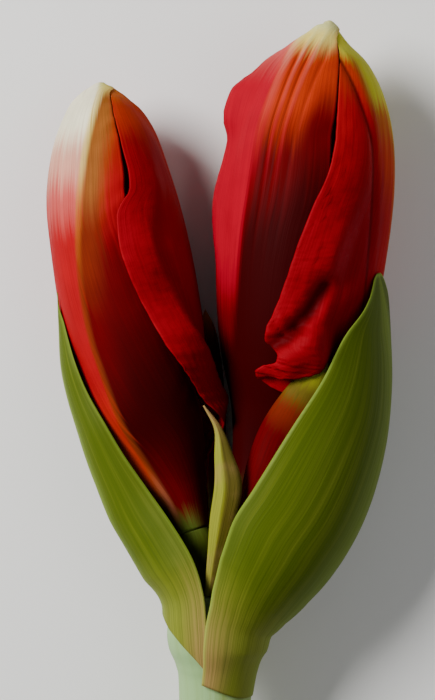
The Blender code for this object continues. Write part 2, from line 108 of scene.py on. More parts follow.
LEFT_BUD = (
    (-5.4, 44.0, 20.4, 3.9, 3.9),
    (-8.1, 52.8, 19.8, 6.0, 6.0),
    (-12.2, 63.7, 18.9, 10.1, 10.0),
    (-16.9, 76.7, 18.0, 14.6, 14.4),
    (-20.0, 92.3, 17.3, 17.2, 17.0),
    (-22.9, 106.6, 17.2, 18.0, 18.0),
    (-25.4, 120.9, 17.3, 17.5, 18.0),
    (-27.6, 133.9, 17.8, 16.0, 16.8),
    (-28.8, 145.6, 18.4, 13.2, 13.8),
    (-29.4, 153.2, 18.8, 9.3, 9.7),
    (-29.4, 157.6, 19.0, 5.5, 5.7),
    (-29.3, 160.0, 19.1, 2.5, 2.6),
    (-29.1, 160.9, 19.1, 0.0, 0.0),
)
RIGHT_BUD = (
    (6.6, 42.5, 19.0, 3.9, 3.9),
    (9.4, 52.0, 17.8, 5.0, 5.0),
    (13.6, 63.5, 17.0, 8.2, 8.2),
    (17.6, 76.5, 17.6, 12.9, 13.0),
    (20.0, 89.7, 19.4, 17.6, 17.4),
    (21.8, 103.0, 20.8, 20.3, 20.0),
    (23.3, 118.0, 21.1, 21.6, 21.9),
    (25.2, 134.0, 21.3, 21.6, 22.1),
    (26.4, 148.6, 21.7, 20.0, 20.2),
    (27.4, 159.8, 22.1, 16.2, 16.2),
    (28.2, 167.8, 22.4, 10.8, 10.8),
    (28.8, 172.8, 22.6, 5.2, 5.4),
    (28.9, 175.6, 22.6, 2.5, 2.6),
    (28.6, 176.5, 22.6, 0.0, 0.0),
)
THIRD_BUD = (
    (7.8, 41.0, 29.6, 2.3, 2.3),
    (10.7, 50.0, 31.0, 4.7, 4.2),
    (13.8, 58.5, 31.8, 6.3, 5.2),
    (16.9, 66.3, 32.8, 6.9, 4.8),
    (20.0, 72.8, 35.0, 6.6, 4.0),
    (23.2, 79.4, 37.2, 5.2, 2.8),
    (26.2, 85.2, 38.6, 3.2, 1.6),
    (28.6, 89.4, 39.2, 0.3, 0.3),
)
FOURTH_BUD = (
    (-0.4, 45.0, 9.4, 2.2, 2.2),
    (0.0, 56.0, 7.2, 3.0, 2.8),
    (-0.6, 67.0, 5.6, 3.6, 3.4),
    (-1.2, 78.0, 5.2, 3.8, 3.6),
    (-1.8, 88.4, 5.4, 3.4, 3.3),
    (-2.2, 96.2, 5.8, 2.3, 2.2),
    (-2.6, 101.9, 6.2, 0.0, 0.0),
)
# A bud's stalk: the station on the scape's top where it starts, its half width, and its bud.
STALKS = {
    "left_stalk": ((-4.6, 27.3, 22.0, 2.6, 2.6), 3.5, LEFT_BUD),
    "right_stalk": ((4.4, 27.3, 20.6, 2.6, 2.6), 3.5, RIGHT_BUD),
    "third_stalk": ((3.4, 27.3, 26.2, 2.2, 2.2), 2.3, THIRD_BUD),
    "fourth_stalk": ((-0.2, 27.3, 15.6, 2.2, 2.2), 2.2, FOURTH_BUD),
}
LEFT_VALVE = (
    (0.0, 5.0, 20.4, 11.0, 11.0),
    (-0.1, 13.0, 21.0, 13.1, 12.8),
    (-0.4, 20.0, 21.4, 13.4, 13.0),
    (-1.8, 28.6, 21.4, 12.8, 12.8),
    (-5.0, 37.7, 21.0, 15.0, 12.6),
    (-11.0, 47.0, 20.6, 14.6, 10.8),
    (-16.8, 54.6, 20.2, 13.4, 9.4),
    (-23.2, 63.4, 19.6, 10.5, 9.2),
    (-28.4, 72.0, 19.0, 8.2, 9.2),
    (-33.0, 80.0, 18.6, 6.0, 7.8),
    (-36.3, 88.0, 18.2, 4.3, 6.8),
    (-39.0, 97.5, 18.0, 2.0, 3.6),
    (-41.0, 106.1, 18.0, 0.3, 1.2),
)
RIGHT_VALVE = (
    (0.1, 1.5, 20.0, 9.8, 9.8),
    (0.3, 8.0, 20.6, 10.9, 10.9),
    (0.5, 14.0, 21.0, 13.1, 12.9),
    (1.8, 20.8, 21.4, 13.8, 13.3),
    (4.6, 27.0, 21.6, 15.6, 14.9),
    (8.6, 34.0, 21.6, 18.0, 17.0),
    (12.8, 42.0, 21.6, 20.4, 18.8),
    (17.2, 52.0, 21.6, 22.0, 20.2),
    (20.4, 62.0, 21.6, 22.6, 20.8),
    (22.8, 73.0, 21.5, 22.6, 21.0),
    (24.4, 84.0, 21.4, 21.8, 20.9),
    (24.7, 95.0, 21.3, 21.1, 21.0),
    (24.2, 103.0, 21.4, 21.1, 21.5),
    (23.4, 107.0, 21.5, 21.4, 21.9),
)
BRACTEOLE = (
    (-1.4, 27.4, 29.4, 1.4, 0.8),
    (0.2, 38.0, 32.2, 2.2, 1.1),
    (2.0, 47.0, 34.2, 3.4, 1.5),
    (3.4, 56.0, 36.6, 3.6, 1.8),
    (2.2, 64.0, 37.8, 2.4, 1.6),
    (0.7, 71.0, 38.2, 1.0, 1.0),
    (-2.9, 76.8, 38.6, 0.2, 0.2),
)

# A blade on a form. high and low are its two margins, as (share, angle) knots, and pace says where
# its rows lie. layer lifts the whole blade off the form, and high_lift and low_lift its margins, over
# a band that reach gives as millimetres held and millimetres faded. wave is the size and number of
# the waves along a margin. base says how far up the form its lower edge starts, as (share across,
# share) knots.
Petal = namedtuple(
    "Petal", "form high low pace layer high_lift low_lift reach wave base",
    defaults=(((0.0, 0.0), (1.0, 1.0)), FLAT, FLAT, FLAT, (5.0, 5.0), (0.0, 1), FLAT))

# The fine relief of a blade. keel is its midrib, as (share, angle) knots. ridges are raised lines
# beside it, each (millimetres from the keel, half width, knots of height along the blade, how much of
# the keel's colour it takes, below zero for painted shade in a groove). crinkle knots give the depth of the
# creases that run in from the margin named by edge, over crinkle_reach millimetres, crinkle_pitch apart.
# folds are crests and furrows on the front, each (a line of (x, y) points, half width, height). hood is
# how much thinner the tip is, where it lies over the other tepals' tips. wrinkles is the strength of
# the fine wrinkles that cross the veins beside a margin.
Relief = namedtuple(
    "Relief", "keel ridges edge crinkle crinkle_pitch crinkle_reach folds hood wrinkles",
    defaults=((), "high", FLAT, 4.0, 14.0, (), 0.0, 0.0))

LEFT_FRONT = Petal(
    LEFT_BUD,
    high=((0.0, 172), (0.10, 185), (0.25, 203), (0.50, 212), (0.80, 212), (0.87, 232), (0.93, 255),
          (1.0, 265)),
    low=((0.0, -2), (0.10, -4), (0.17, 4), (0.24, 28), (0.33, 56), (0.41, 68), (0.48, 74), (0.53, 77.5),
         (0.57, 75.5), (0.62, 72.5), (0.72, 72.5), (0.80, 70), (0.83, 68), (0.86, 60), (0.89, 30),
         (0.92, -20), (0.95, -60), (1.0, -80)),
    high_lift=((0.0, 0.0), (0.06, 0.3), (0.12, OVER), (0.54, OVER), (0.70, 0.4), (0.82, 0.3), (0.88, 0.0),
               (1.0, 0.0)),
    wave=(0.4, 4))
LEFT_FLAP = Petal(
    LEFT_BUD,
    high=((0.0, -10), (0.14, -12), (0.17, -6), (0.19, 10), (0.205, 26), (0.235, 40), (0.264, 50),
          (0.296, 62), (0.326, 71), (0.372, 77.5), (0.41, 82.5), (0.445, 86.6), (0.48, 89), (0.53, 87),
          (0.55, 81.5), (0.57, 72.5), (0.615, 69.5), (0.66, 70.4), (0.73, 71), (0.80, 67.5), (0.83, 65),
          (0.87, 62), (0.91, 48), (0.94, 20)),
    low=((0.0, -100), (0.15, -80), (0.30, -52), (0.50, -48), (0.80, -46), (0.87, -38), (0.91, -14),
         (0.94, 20)),
    pace=((0.0, 0.0), (0.25, 0.19), (0.50, 0.38), (1.0, 0.94)),
    layer=((0.0, 0.0), (0.80, 0.0), (0.87, UNDER), (1.0, UNDER)),
    high_lift=((0.0, 0.0), (0.14, 0.5), (0.17, 2.4), (0.195, 5.2), (0.21, 6.2), (0.24, 6.2), (0.27, 6.0),
               (0.33, 4.6), (0.40, 3.2), (0.48, 2.2), (0.54, 1.7), (0.57, 1.5), (0.59, 1.2), (0.62, 0.5),
               (0.66, 0.0), (1.0, 0.0)),
    low_lift=((0.0, 0.0), (0.08, 0.5), (0.15, WELL_OVER), (0.48, WELL_OVER), (0.66, 0.4), (0.80, 0.3),
              (0.86, 0.0), (1.0, 0.0)),
    reach=(7.0, 6.0), wave=(0.5, 7))
LEFT_BACK = Petal(
    LEFT_BUD,
    high=((0.0, 250), (0.12, 264), (0.20, 290), (0.30, 316), (0.50, 321), (0.74, 320), (0.80, 318),
          (0.87, 312), (0.91, 306), (0.95, 303), (0.985, 280)),
    low=((0.0, 178), (0.10, 190), (0.25, 196), (0.50, 201), (0.80, 201), (0.87, 210), (0.91, 234),
         (0.95, 246), (0.985, 275)),
    pace=((0.0, 0.0), (1.0, 0.985)),
    layer=((0.0, 0.0), (0.80, 0.0), (0.87, UNDER), (1.0, UNDER)))
RIGHT_LEFT = Petal(
    RIGHT_BUD,
    high=((0.0, 165), (0.10, 175), (0.25, 190), (0.50, 196), (0.80, 198), (0.87, 226), (0.93, 255),
          (1.0, 270)),
    low=((0.0, 0), (0.10, 5), (0.20, 22), (0.26, 50), (0.30, 80), (0.38, 89), (0.47, 84), (0.52, 80),
         (0.56, 79.5), (0.60, 80), (0.636, 77.8), (0.70, 75), (0.763, 70.2), (0.80, 67.3), (0.83, 62),
         (0.86, 46), (0.89, 8), (0.92, -42), (1.0, -75)),
    pace=((0.0, 0.0), (0.60, 0.58), (1.0, 1.0)),
    high_lift=((0.0, 0.0), (0.06, 0.5), (0.12, 1.2), (0.42, 1.3), (0.505, 3.4), (0.585, 2.2), (0.625, 5.0),
               (0.655, 5.2), (0.70, 2.4), (0.74, 1.3), (0.79, 0.0), (1.0, 0.0)),
    reach=(5.0, 8.0))
RIGHT_FLAP = Petal(
    RIGHT_BUD,
    high=((0.0, -15), (0.15, 5), (0.238, 18), (0.254, 48), (0.263, 76), (0.272, 97), (0.281, 110),
          (0.289, 114.5), (0.298, 114), (0.308, 108), (0.319, 100), (0.328, 99.5), (0.336, 106),
          (0.345, 109.5), (0.358, 109), (0.379, 106), (0.42, 100), (0.475, 93.5), (0.512, 88.5), (0.548, 82),
          (0.59, 78.2), (0.636, 76.4), (0.70, 73.6), (0.763, 68.6), (0.80, 65.5), (0.83, 63), (0.87, 60),
          (0.91, 48), (0.94, 20)),
    low=((0.0, -107), (0.15, -78), (0.30, -62), (0.50, -60), (0.80, -58), (0.87, -50), (0.91, -20),
         (0.94, 20)),
    pace=((0.0, 0.0), (0.14, 0.245), (0.54, 0.35), (1.0, 0.94)),
    layer=((0.0, 0.0), (0.75, 0.0), (0.83, UNDER), (1.0, UNDER)),
    high_lift=((0.0, 0.0), (0.15, 0.6), (0.22, 1.2), (0.27, 2.6), (0.30, 3.6), (0.335, 5.4), (0.37, 4.8),
               (0.42, 3.6), (0.50, 2.6), (0.56, 1.6), (0.60, 1.0), (0.64, 0.3), (0.68, 0.0), (1.0, 0.0)),
    low_lift=((0.0, 0.0), (0.08, 0.5), (0.15, WELL_OVER), (0.48, WELL_OVER), (0.66, 0.4), (0.76, 0.3),
              (0.82, 0.0), (1.0, 0.0)),
    reach=(8.0, 7.0), wave=(0.5, 7))
RIGHT_BACK = Petal(
    RIGHT_BUD,
    high=((0.0, 245), (0.12, 260), (0.20, 285), (0.30, 304), (0.50, 309), (0.70, 309), (0.78, 308),
          (0.86, 308), (0.91, 314), (0.95, 311), (0.985, 284)),
    low=((0.0, 171), (0.10, 178), (0.25, 181), (0.50, 184), (0.76, 186), (0.85, 198), (0.91, 232),
         (0.95, 246), (0.985, 275)),
    pace=((0.0, 0.0), (1.0, 0.985)),
    layer=((0.0, 0.0), (0.66, 0.0), (0.77, UNDER), (1.0, UNDER)))
VALVE_LEFT = Petal(
    LEFT_VALVE,
    high=((0.0, 250), (0.30, 280), (0.44, 285), (0.54, 268), (0.70, 262), (0.92, 250), (1.0, 181)),
    low=((0.0, 99), (0.16, 98), (0.30, 94), (0.42, 92), (0.60, 90), (0.80, 90), (0.92, 95), (1.0, 179)),
    low_lift=((0.0, -0.9), (0.08, -0.6), (0.18, -0.35), (0.30, 0.0), (1.0, 0.0)), reach=(3.0, 5.0),
    base=((0.0, 0.0), (0.5, 0.215), (1.0, 0.03)))
VALVE_RIGHT = Petal(
    RIGHT_VALVE,
    high=((0.0, 114), (0.06, 109), (0.15, 105), (0.25, 107), (0.31, 112), (0.385, 117), (0.46, 118),
          (0.54, 112), (0.615, 105), (0.69, 95), (0.77, 81), (0.846, 65), (0.896, 48), (0.93, 40),
          (0.962, 33.5), (1.0, 25.5)),
    low=((0.0, -105), (0.45, -102), (0.70, -88), (0.80, -56), (0.86, -24), (0.90, -3), (0.935, 10),
         (0.965, 18), (1.0, 24.5)),
    pace=((0.0, 0.0), (0.60, 0.70), (1.0, 1.0)),
    high_lift=((0.0, 0.0), (0.06, 0.4), (0.18, 0.4), (0.30, 0.0), (1.0, 0.0)), reach=(3.0, 5.0),
    base=((0.0, 0.045), (0.35, 0.0), (1.0, 0.0)))

# Heights of ridges and grooves along a blade, as (share, millimetres) knots.
MIDRIB = ((0.0, 0.0), (0.06, 0.35), (0.80, 0.45), (0.96, 0.3), (1.0, 0.0))
FRONT_KEEL = ((0.0, 0.0), (0.06, 0.5), (0.5, 0.4), (0.80, 0.4), (0.90, 0.1), (1.0, 0.0))
FRONT_RIB = ((0.0, 0.0), (0.1, 0.08), (0.75, 0.1), (0.88, 0.0), (1.0, 0.0))
RIBS = ((0.0, 0.0), (0.40, 0.0), (0.56, 0.25), (0.78, 0.35), (0.87, 0.1), (1.0, 0.0))
GROOVES = ((0.0, 0.0), (0.42, 0.0), (0.56, -0.3), (0.76, -0.35), (0.84, 0.0), (1.0, 0.0))
EDGE_GROOVE = ((0.0, 0.0), (0.40, 0.0), (0.52, -0.4), (0.72, -0.5), (0.80, 0.0), (0.9, 0.0))
EDGE_RIB = ((0.0, 0.0), (0.3, 0.0), (0.5, 0.3), (0.76, 0.35), (0.86, 0.0), (1.0, 0.0))
BACK_RIB = ((0.0, 0.0), (0.06, 0.35), (0.2, 0.35), (0.3, 0.0), (1.0, 0.0))

RELIEF = {
    "left_outer_tepal_front": Relief(
        keel=((0.0, 140), (0.10, 128), (0.25, 126), (0.35, 130), (0.46, 127), (0.61, 114), (0.72, 104),
              (0.82, 96), (1.0, 90)),
        ridges=((0.0, 1.5, FRONT_KEEL, 0.6), (4.2, 1.4, FRONT_RIB, 0.0)),
        edge="low", crinkle=((0.0, 0.0), (0.2, 0.10), (0.7, 0.12), (0.85, 0.0), (1.0, 0.0)),
        crinkle_pitch=6.0, crinkle_reach=10.0, hood=0.65),
    "left_outer_tepal_flap": Relief(
        keel=((0.0, -50), (0.2, -30), (0.6, -5), (0.915, 15)),
        ridges=((0.0, 1.4, MIDRIB, 0.4),),
        crinkle=((0.0, 0.0), (0.15, 0.15), (0.30, 0.24), (0.48, 0.18), (0.60, 0.05), (0.75, 0.0),
                 (1.0, 0.0)),
        crinkle_pitch=3.0, crinkle_reach=15.0,
        folds=((((-11.7, 117.0), (-6.5, 104.0), (-3.1, 94.9), (-0.5, 87.1), (1.8, 80.6)), 2.4, 0.9),),
        wrinkles=0.3),
    "left_outer_tepal_back": Relief(
        keel=((0.0, 214), (0.3, 256), (0.6, 260), (0.915, 262)),
        ridges=((0.0, 1.4, BACK_RIB, 0.3),)),
    "right_outer_tepal_left": Relief(
        keel=((0.0, 150), (0.15, 141), (0.30, 130), (0.50, 122), (0.585, 120), (0.667, 115.7), (0.78, 110.6),
              (0.88, 108), (1.0, 105)),
        ridges=((-5.4, 1.9, RIBS, 0.45), (-3.0, 0.6, GROOVES, -0.5), (-1.5, 0.8, RIBS, 0.4),
                (0.0, 0.6, GROOVES, -0.5), (1.7, 0.9, RIBS, 0.3), (4.4, 0.7, GROOVES, -0.25)),
        edge="low", crinkle=((0.0, 0.0), (0.3, 0.05), (0.7, 0.08), (0.85, 0.0), (1.0, 0.0)),
        crinkle_pitch=6.0, crinkle_reach=9.0, hood=0.65),
    "right_outer_tepal_flap": Relief(
        keel=((0.0, -40), (0.2, -10), (0.40, 18), (0.60, 28), (0.76, 34), (0.90, 28)),
        ridges=((-7.2, 0.8, EDGE_GROOVE, -0.5), (-4.4, 1.3, EDGE_RIB, 0.3)),
        crinkle=((0.0, 0.0), (0.12, 0.10), (0.25, 0.3), (0.38, 0.45), (0.50, 0.45), (0.60, 0.2), (0.72, 0.0),
                 (1.0, 0.0)),
        crinkle_pitch=3.2, crinkle_reach=10.0,
        folds=((((14.5, 92.4), (19.0, 95.2), (24.0, 101.0), (27.6, 107.5)), 2.1, -3.0),
               (((12.0, 87.5), (20.0, 90.4), (27.5, 97.0), (33.0, 105.0)), 2.6, 0.9)),
        wrinkles=0.7),
    "right_outer_tepal_back": Relief(
        keel=((0.0, 208), (0.3, 242), (0.6, 247), (0.90, 262)),
        ridges=((0.0, 1.4, BACK_RIB, 0.3),)),
    "spathe_valve_left": Relief(keel=((0.0, 181), (1.0, 181))),
    "spathe_valve_right": Relief(keel=((0.0, 0), (0.5, 8), (0.8, 20), (1.0, 28))),
}

OUTER_TEPALS = {
    "left_outer_tepal_front": LEFT_FRONT,
    "left_outer_tepal_flap": LEFT_FLAP,
    "left_outer_tepal_back": LEFT_BACK,
    "right_outer_tepal_left": RIGHT_LEFT,
    "right_outer_tepal_flap": RIGHT_FLAP,
    "right_outer_tepal_back": RIGHT_BACK,
}
# Each valve's blade, the share across it at which it meets the other one, and how strong the painted
# highlight is along its rim and along its outermost side.
VALVES = {
    "spathe_valve_left": (VALVE_LEFT, 1.0, (0.3, 0.6)),
    "spathe_valve_right": (VALVE_RIGHT, 0.0, (0.5, 0.3)),
}
# The form that each bud's inner tepals lie on, and the angles of their middles.
INNER_MIDDLES = {"left": (LEFT_BUD, (72, 192, 312)), "right": (RIGHT_BUD, (75, 195, 315))}
INNER_START = 0.03    # shares of a bud between which its inner tepals lie
INNER_END = 0.83
INNER_HALF_ANGLE = 55 # degrees
INNER_FLOOR = TABLE + SKIN + 1.5 * SEAT    # height that the inner tepals stay above
FOLD = 0.72           # share round the bracteole at which its fold lies
FOLD_WIDTH = 0.05     # half width of that fold, as a share round the bracteole
FOLD_HEIGHT = 0.5     # millimetres
OVARY = 1.25          # half widths of an ovary and of its neck, as shares of the stalk's
OVARY_NECK = 1.08

# Sides round a closed piece and rows along it. The scape's last number is the rows up its bore.
BRACTEOLE_GRID = (64, 90)
STALK_GRID = (32, 24)
THIRD_BUD_GRID = (48, 80)
FOURTH_BUD_GRID = (40, 60)
SCAPE_GRID = (72, 180, 40)

# The stage: the middle of the view in the solids' millimetres, the lights' places from there and the
# floor's half size in metres, and the length of flower that the picture's longer side shows.
VIEW_MIDDLE = (0.65, 91.0, 23.0)
KEY_PLACE = (-0.66, 0.34, 0.62)
FILL_PLACE = (0.55, -0.05, 0.60)
FLOOR_HALF = 2.0
VIEW_LENGTH = 0.182
SENSOR = 36.0         # millimetres
SKY_COLOUR = (0.9, 0.93, 1.0, 1.0)

# The pole of the right bud stays where the solid has it, and gives the step from these tables into
# the frame.
TIP = max((vert.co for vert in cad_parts["right_outer_tepal_left"].data.vertices), key=lambda co: co.y)
SHIFT = np.array((TIP.x - RIGHT_BUD[-1][0] * MM, TIP.y - RIGHT_BUD[-1][1] * MM, 0.0))

# Where a tepal has which colour. flank, inner and far are ramps along the blade, side by side from its
# high margin to its low one, and midrib is the ramp of its ridges. flank holds the tepal's colours lit, as
# painted light on the side that faces the light; inner and far hold them darker, as painted shade on the
# side of the keel turned from the light and under the neighbouring margin, and their dark lower stops are
# partly painted shade too. turn and away are the millimetres from the keel between which flank changes
# to inner, and inner to far. rim is a painted highlight along the margin, and lined gives the shares of
# the blade between which the paint of its ridges comes up.
Dress = namedtuple("Dress", "flank inner far midrib turn away rim lined", defaults=((-1.0, 0.0),))

BACK_DRESS = Dress(
    flank=((0.0, "leaf_green"), (0.10, "deep_red"), (0.45, "scarlet"), (0.75, "orange_red"), (0.9, "orange")),
    inner=((0.0, "leaf_green"), (0.10, "deep_red"), (0.45, "crimson"), (0.75, "orange_red"), (0.9, "orange")),
    far=((0.0, "leaf_green"), (0.10, "deep_red"), (0.50, "scarlet"), (0.80, "orange_red")),
    midrib=((0.0, "leaf_green"), (0.4, "orange"), (0.9, "orange")),
    turn=(-4.0, 4.0), away=(4.0, 14.0), rim="crimson")

DRESS = {
    "left_outer_tepal_front": Dress(
        flank=((0.0, "leaf_green"), (0.05, "bronze"), (0.16, "orange_red"), (0.30, "scarlet"),
               (0.50, "scarlet"), (0.57, "rose"), (0.63, "blush"), (0.72, "cream"), (1.0, "cream")),
        inner=((0.0, "leaf_green"), (0.07, "deep_red"), (0.22, "dark_red"), (0.36, "deep_red"),
               (0.50, "brown_red"), (0.60, "bronze"), (0.80, "bronze"), (0.90, "straw"), (1.0, "lime")),
        far=((0.0, "deep_red"), (0.25, "dark_red"), (0.45, "deep_red"), (0.58, "scarlet"),
             (0.75, "orange_red"), (0.86, "orange_red"), (0.92, "straw")),
        midrib=((0.0, "leaf_green"), (0.07, "salmon"), (0.16, "russet"), (0.44, "russet"), (0.54, "orange"),
                (0.63, "straw"), (0.84, "straw"), (0.93, "lime")),
        turn=(-1.2, 1.2), away=(3.0, 9.0), rim="scarlet"),
    "left_outer_tepal_flap": Dress(
        flank=((0.0, "deep_red"), (0.30, "crimson"), (0.62, "crimson"), (0.76, "orange_red"),
               (0.86, "orange"), (0.94, "straw")),
        inner=((0.0, "deep_red"), (0.40, "crimson"), (0.72, "orange_red"), (0.86, "orange"), (0.94, "straw")),
        far=((0.0, "dark_red"), (0.40, "deep_red"), (0.75, "scarlet"), (0.90, "orange")),
        midrib=((0.0, "deep_red"), (0.50, "scarlet"), (0.85, "orange"), (1.0, "straw")),
        turn=(-6.0, 6.0), away=(8.0, 16.0), rim="scarlet"),
    "left_outer_tepal_back": BACK_DRESS,
    # The dark red low on this tepal's flank is painted shade, like its dark inner and far ramps.
    "right_outer_tepal_left": Dress(
        flank=((0.0, "leaf_green"), (0.10, "dark_red"), (0.29, "dark_red"), (0.35, "deep_red"),
               (0.43, "rose_red"), (0.68, "rose_red"), (0.77, "rose"), (0.86, "blush"), (0.94, "cream")),
        inner=((0.0, "leaf_green"), (0.12, "dark_red"), (0.46, "dark_red"), (0.56, "deep_red"),
               (0.66, "orange_red"), (0.74, "orange_red"), (0.83, "straw"), (0.90, "nib"), (1.0, "nib")),
        far=((0.0, "leaf_green"), (0.12, "dark_red"), (0.50, "dark_red"), (0.62, "deep_red"),
             (0.72, "orange_red"), (0.82, "orange_red"), (0.87, "lime")),
        midrib=((0.0, "deep_red"), (0.50, "deep_red"), (0.60, "rose_red"), (0.70, "rose"), (0.76, "blush"),
                (0.82, "nib")),
        turn=(-8.5, -4.5), away=(4.0, 9.0), rim="rose_red", lined=(0.40, 0.60)),
    "right_outer_tepal_flap": Dress(
        flank=((0.0, "deep_red"), (0.25, "crimson"), (0.50, "crimson"), (0.64, "scarlet"),
               (0.74, "orange_red"), (0.79, "lime")),
        inner=((0.0, "leaf_green"), (0.12, "dark_red"), (0.24, "deep_red"), (0.32, "scarlet"),
               (0.50, "scarlet"), (0.58, "orange_red"), (0.64, "orange"), (0.69, "lime"), (1.0, "lime")),
        far=((0.0, "leaf_green"), (0.12, "dark_red"), (0.24, "deep_red"), (0.32, "scarlet"),
             (0.44, "orange_red"), (0.56, "orange"), (0.67, "lime")),
        midrib=((0.0, "deep_red"), (0.50, "scarlet"), (0.64, "orange_red"), (0.72, "orange"), (0.77, "lime")),
        turn=(-5.0, 0.0), away=(2.0, 8.0), rim="crimson"),
    "right_outer_tepal_back": BACK_DRESS,
}


def smooth(points, share):
    """The place on a smooth curve through evenly spaced points, at a share of its length."""
    rows = np.asarray(points, dtype=float)
    rows = np.vstack((2 * rows[0] - rows[1], rows, 2 * rows[-1] - rows[-2]))
    place = np.clip(share, 0.0, 1.0) * (len(points) - 1)
    first = np.minimum(place.astype(int), len(points) - 2)
    part = (place - first)[..., None]
    a, b, c, d = rows[first], rows[first + 1], rows[first + 2], rows[first + 3]
    bend = (2 * a - 5 * b + 4 * c - d) * part + (3 * b - a - 3 * c + d) * part ** 2
    return b + 0.5 * part * (c - a + bend)


def curve(knots, at):
    """A smooth line through (place, value) knots that never overshoots them."""
    x, y = np.array(knots, dtype=float).T
    rise = np.diff(y) / np.diff(x)
    slope = np.zeros(len(x))
    same_way = rise[1:] * rise[:-1] > 0
    inner = 2 * rise[1:] * rise[:-1] / np.where(same_way, rise[1:] + rise[:-1], 1.0)
    slope[1:-1] = np.where(same_way, inner, 0.0)
    slope[0], slope[-1] = rise[0], rise[-1]
    at = np.clip(at, x[0], x[-1])
    k = np.clip(np.searchsorted(x, at, side="right") - 1, 0, len(x) - 2)
    width = x[k + 1] - x[k]
    t = (at - x[k]) / width
    from_start = (1 + 2 * t) * (1 - t) ** 2 * y[k] + t * (1 - t) ** 2 * width * slope[k]
    return from_start + t * t * (3 - 2 * t) * y[k + 1] - t * t * (1 - t) * width * slope[k + 1]


def ease(value):
    """0 to 1, with no corner at either end."""
    value = np.clip(value, 0.0, 1.0)
    return value * value * (3 - 2 * value)


def unit(vectors):
    return vectors / np.maximum(np.linalg.norm(vectors, axis=-1, keepdims=True), 1e-9)


def on_form(form, share, angle):
    """Points on a form's surface, in millimetres."""
    rows = smooth(form, share)
    along = unit((smooth(form, share + STEP) - smooth(form, share - STEP))[..., :3])
    across = unit(np.cross(along, UP))
    front = np.cross(across, along)
    turn = np.radians(angle)[..., None]
    half_width = np.maximum(rows[..., 3:4], 0.0)
    half_depth = np.maximum(rows[..., 4:5], 0.0)
    return rows[..., :3] + across * half_width * np.cos(turn) + front * half_depth * np.sin(turn)


def outward(form, share, angle):
    """Unit vectors that point out of a form's surface, and along its axis at a closed tip."""
    rows = smooth(form, share)
    along = unit((smooth(form, share + STEP) - smooth(form, share - STEP))[..., :3])
    lengthwise = on_form(form, share + STEP, angle) - on_form(form, share - STEP, angle)
    round_it = on_form(form, share, angle + TURN) - on_form(form, share, angle - TURN)
    return np.where(rows[..., 3:4] < 0.05, along, unit(np.cross(lengthwise, round_it)))


def wrapped_grid(rows, columns, place, floor=TABLE):
    """A grid whose points are moved to place(share across, share along), faces outwards. The fields
    that place gives beside the points become the mesh's own attributes."""
    bm = bmesh.new()
    bmesh.ops.create_grid(bm, x_segments=columns, y_segments=rows, size=0.5)
    flat = np.array([vert.co[:2] for vert in bm.verts]) + 0.5
    points, fields = place(flat[:, 0], flat[:, 1])
    points[:, 2] = np.maximum(points[:, 2], floor)
    for vert, point in zip(bm.verts, points * MM + SHIFT):
        vert.co = point
    if "wall" in fields:
        weights = bm.verts.layers.deform.new()
        for vert, value in zip(bm.verts, fields.pop("wall")):
            vert[weights][0] = value
    for name, values in fields.items():
        layer = bm.verts.layers.float.new(name)
        for vert, value in zip(bm.verts, values):
            vert[layer] = value
    bmesh.ops.remove_doubles(bm, verts=bm.verts[:], dist=MERGE)
    return bm


def finish(bm, name, material, node):
    """Makes a mesh into a piece that stands for a node of the frame."""
    mesh = bpy.data.meshes.new(name)
    bm.to_mesh(mesh)
    bm.free()
    mesh.shade_smooth()
    mesh.materials.append(material)
    piece = bpy.data.objects.new(name, mesh)
    bpy.context.scene.collection.objects.link(piece)
    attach(piece, "root")
    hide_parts(node)
    return piece


def add_wall(piece):
    """Gives a blade its thickness, inwards from its outer face."""
    piece.vertex_groups.new(name="wall")
    wall = piece.modifiers.new("Wall", "SOLIDIFY")
    wall.vertex_group = "wall"
    wall.thickness = SKIN * MM
    wall.offset = -1.0
    wall.use_even_offset = False


def creases(share, away, length, relief):
    """Uneven creases that run in from a margin, in millimetres of height."""
    at = share * length
    sway = 1.3 * np.sin(at / 5.1) + 0.9 * np.sin(at / 2.7 + away / 4.0)
    lean = 0.45 * away
    height = np.sin(2 * math.pi * (at + sway + lean) / relief.crinkle_pitch)
    finer = 0.53 * relief.crinkle_pitch
    height = height + 0.4 * np.sin(2 * math.pi * (at - 0.3 * away) / finer)
    fade = 1 - ease(away / relief.crinkle_reach)
    return curve(relief.crinkle, share) * height * fade


def from_line(points, line):
    """How far points lie from a line of (x, y) places, seen from the front, in millimetres."""
    nearest = np.full(len(points), np.inf)
    for start, end in zip(np.array(line[:-1]), np.array(line[1:])):
        step = end - start
        part = np.clip(((points[:, :2] - start) @ step) / (step @ step), 0.0, 1.0)
        nearest = np.minimum(nearest, np.linalg.norm(points[:, :2] - start - part[:, None] * step, axis=1))
    return nearest


def from_margin(form, knots, first, last, bare):
    """How far points lie from a margin, in millimetres, and the margin's share where it is nearest."""
    along = np.linspace(first, last, MARGIN_STEPS)
    line = on_form(form, along, curve(knots, along))
    gaps = np.linalg.norm(bare[:, None] - line[None], axis=2)
    nearest = gaps.argmin(axis=1)
    return gaps[np.arange(len(bare)), nearest], along[nearest]


def form_length(form):
    """The length of a form's axis, in millimetres."""
    axis = smooth(form, np.linspace(0.0, 1.0, 100))[:, :3]
    return float(np.linalg.norm(np.diff(axis, axis=0), axis=1).sum())


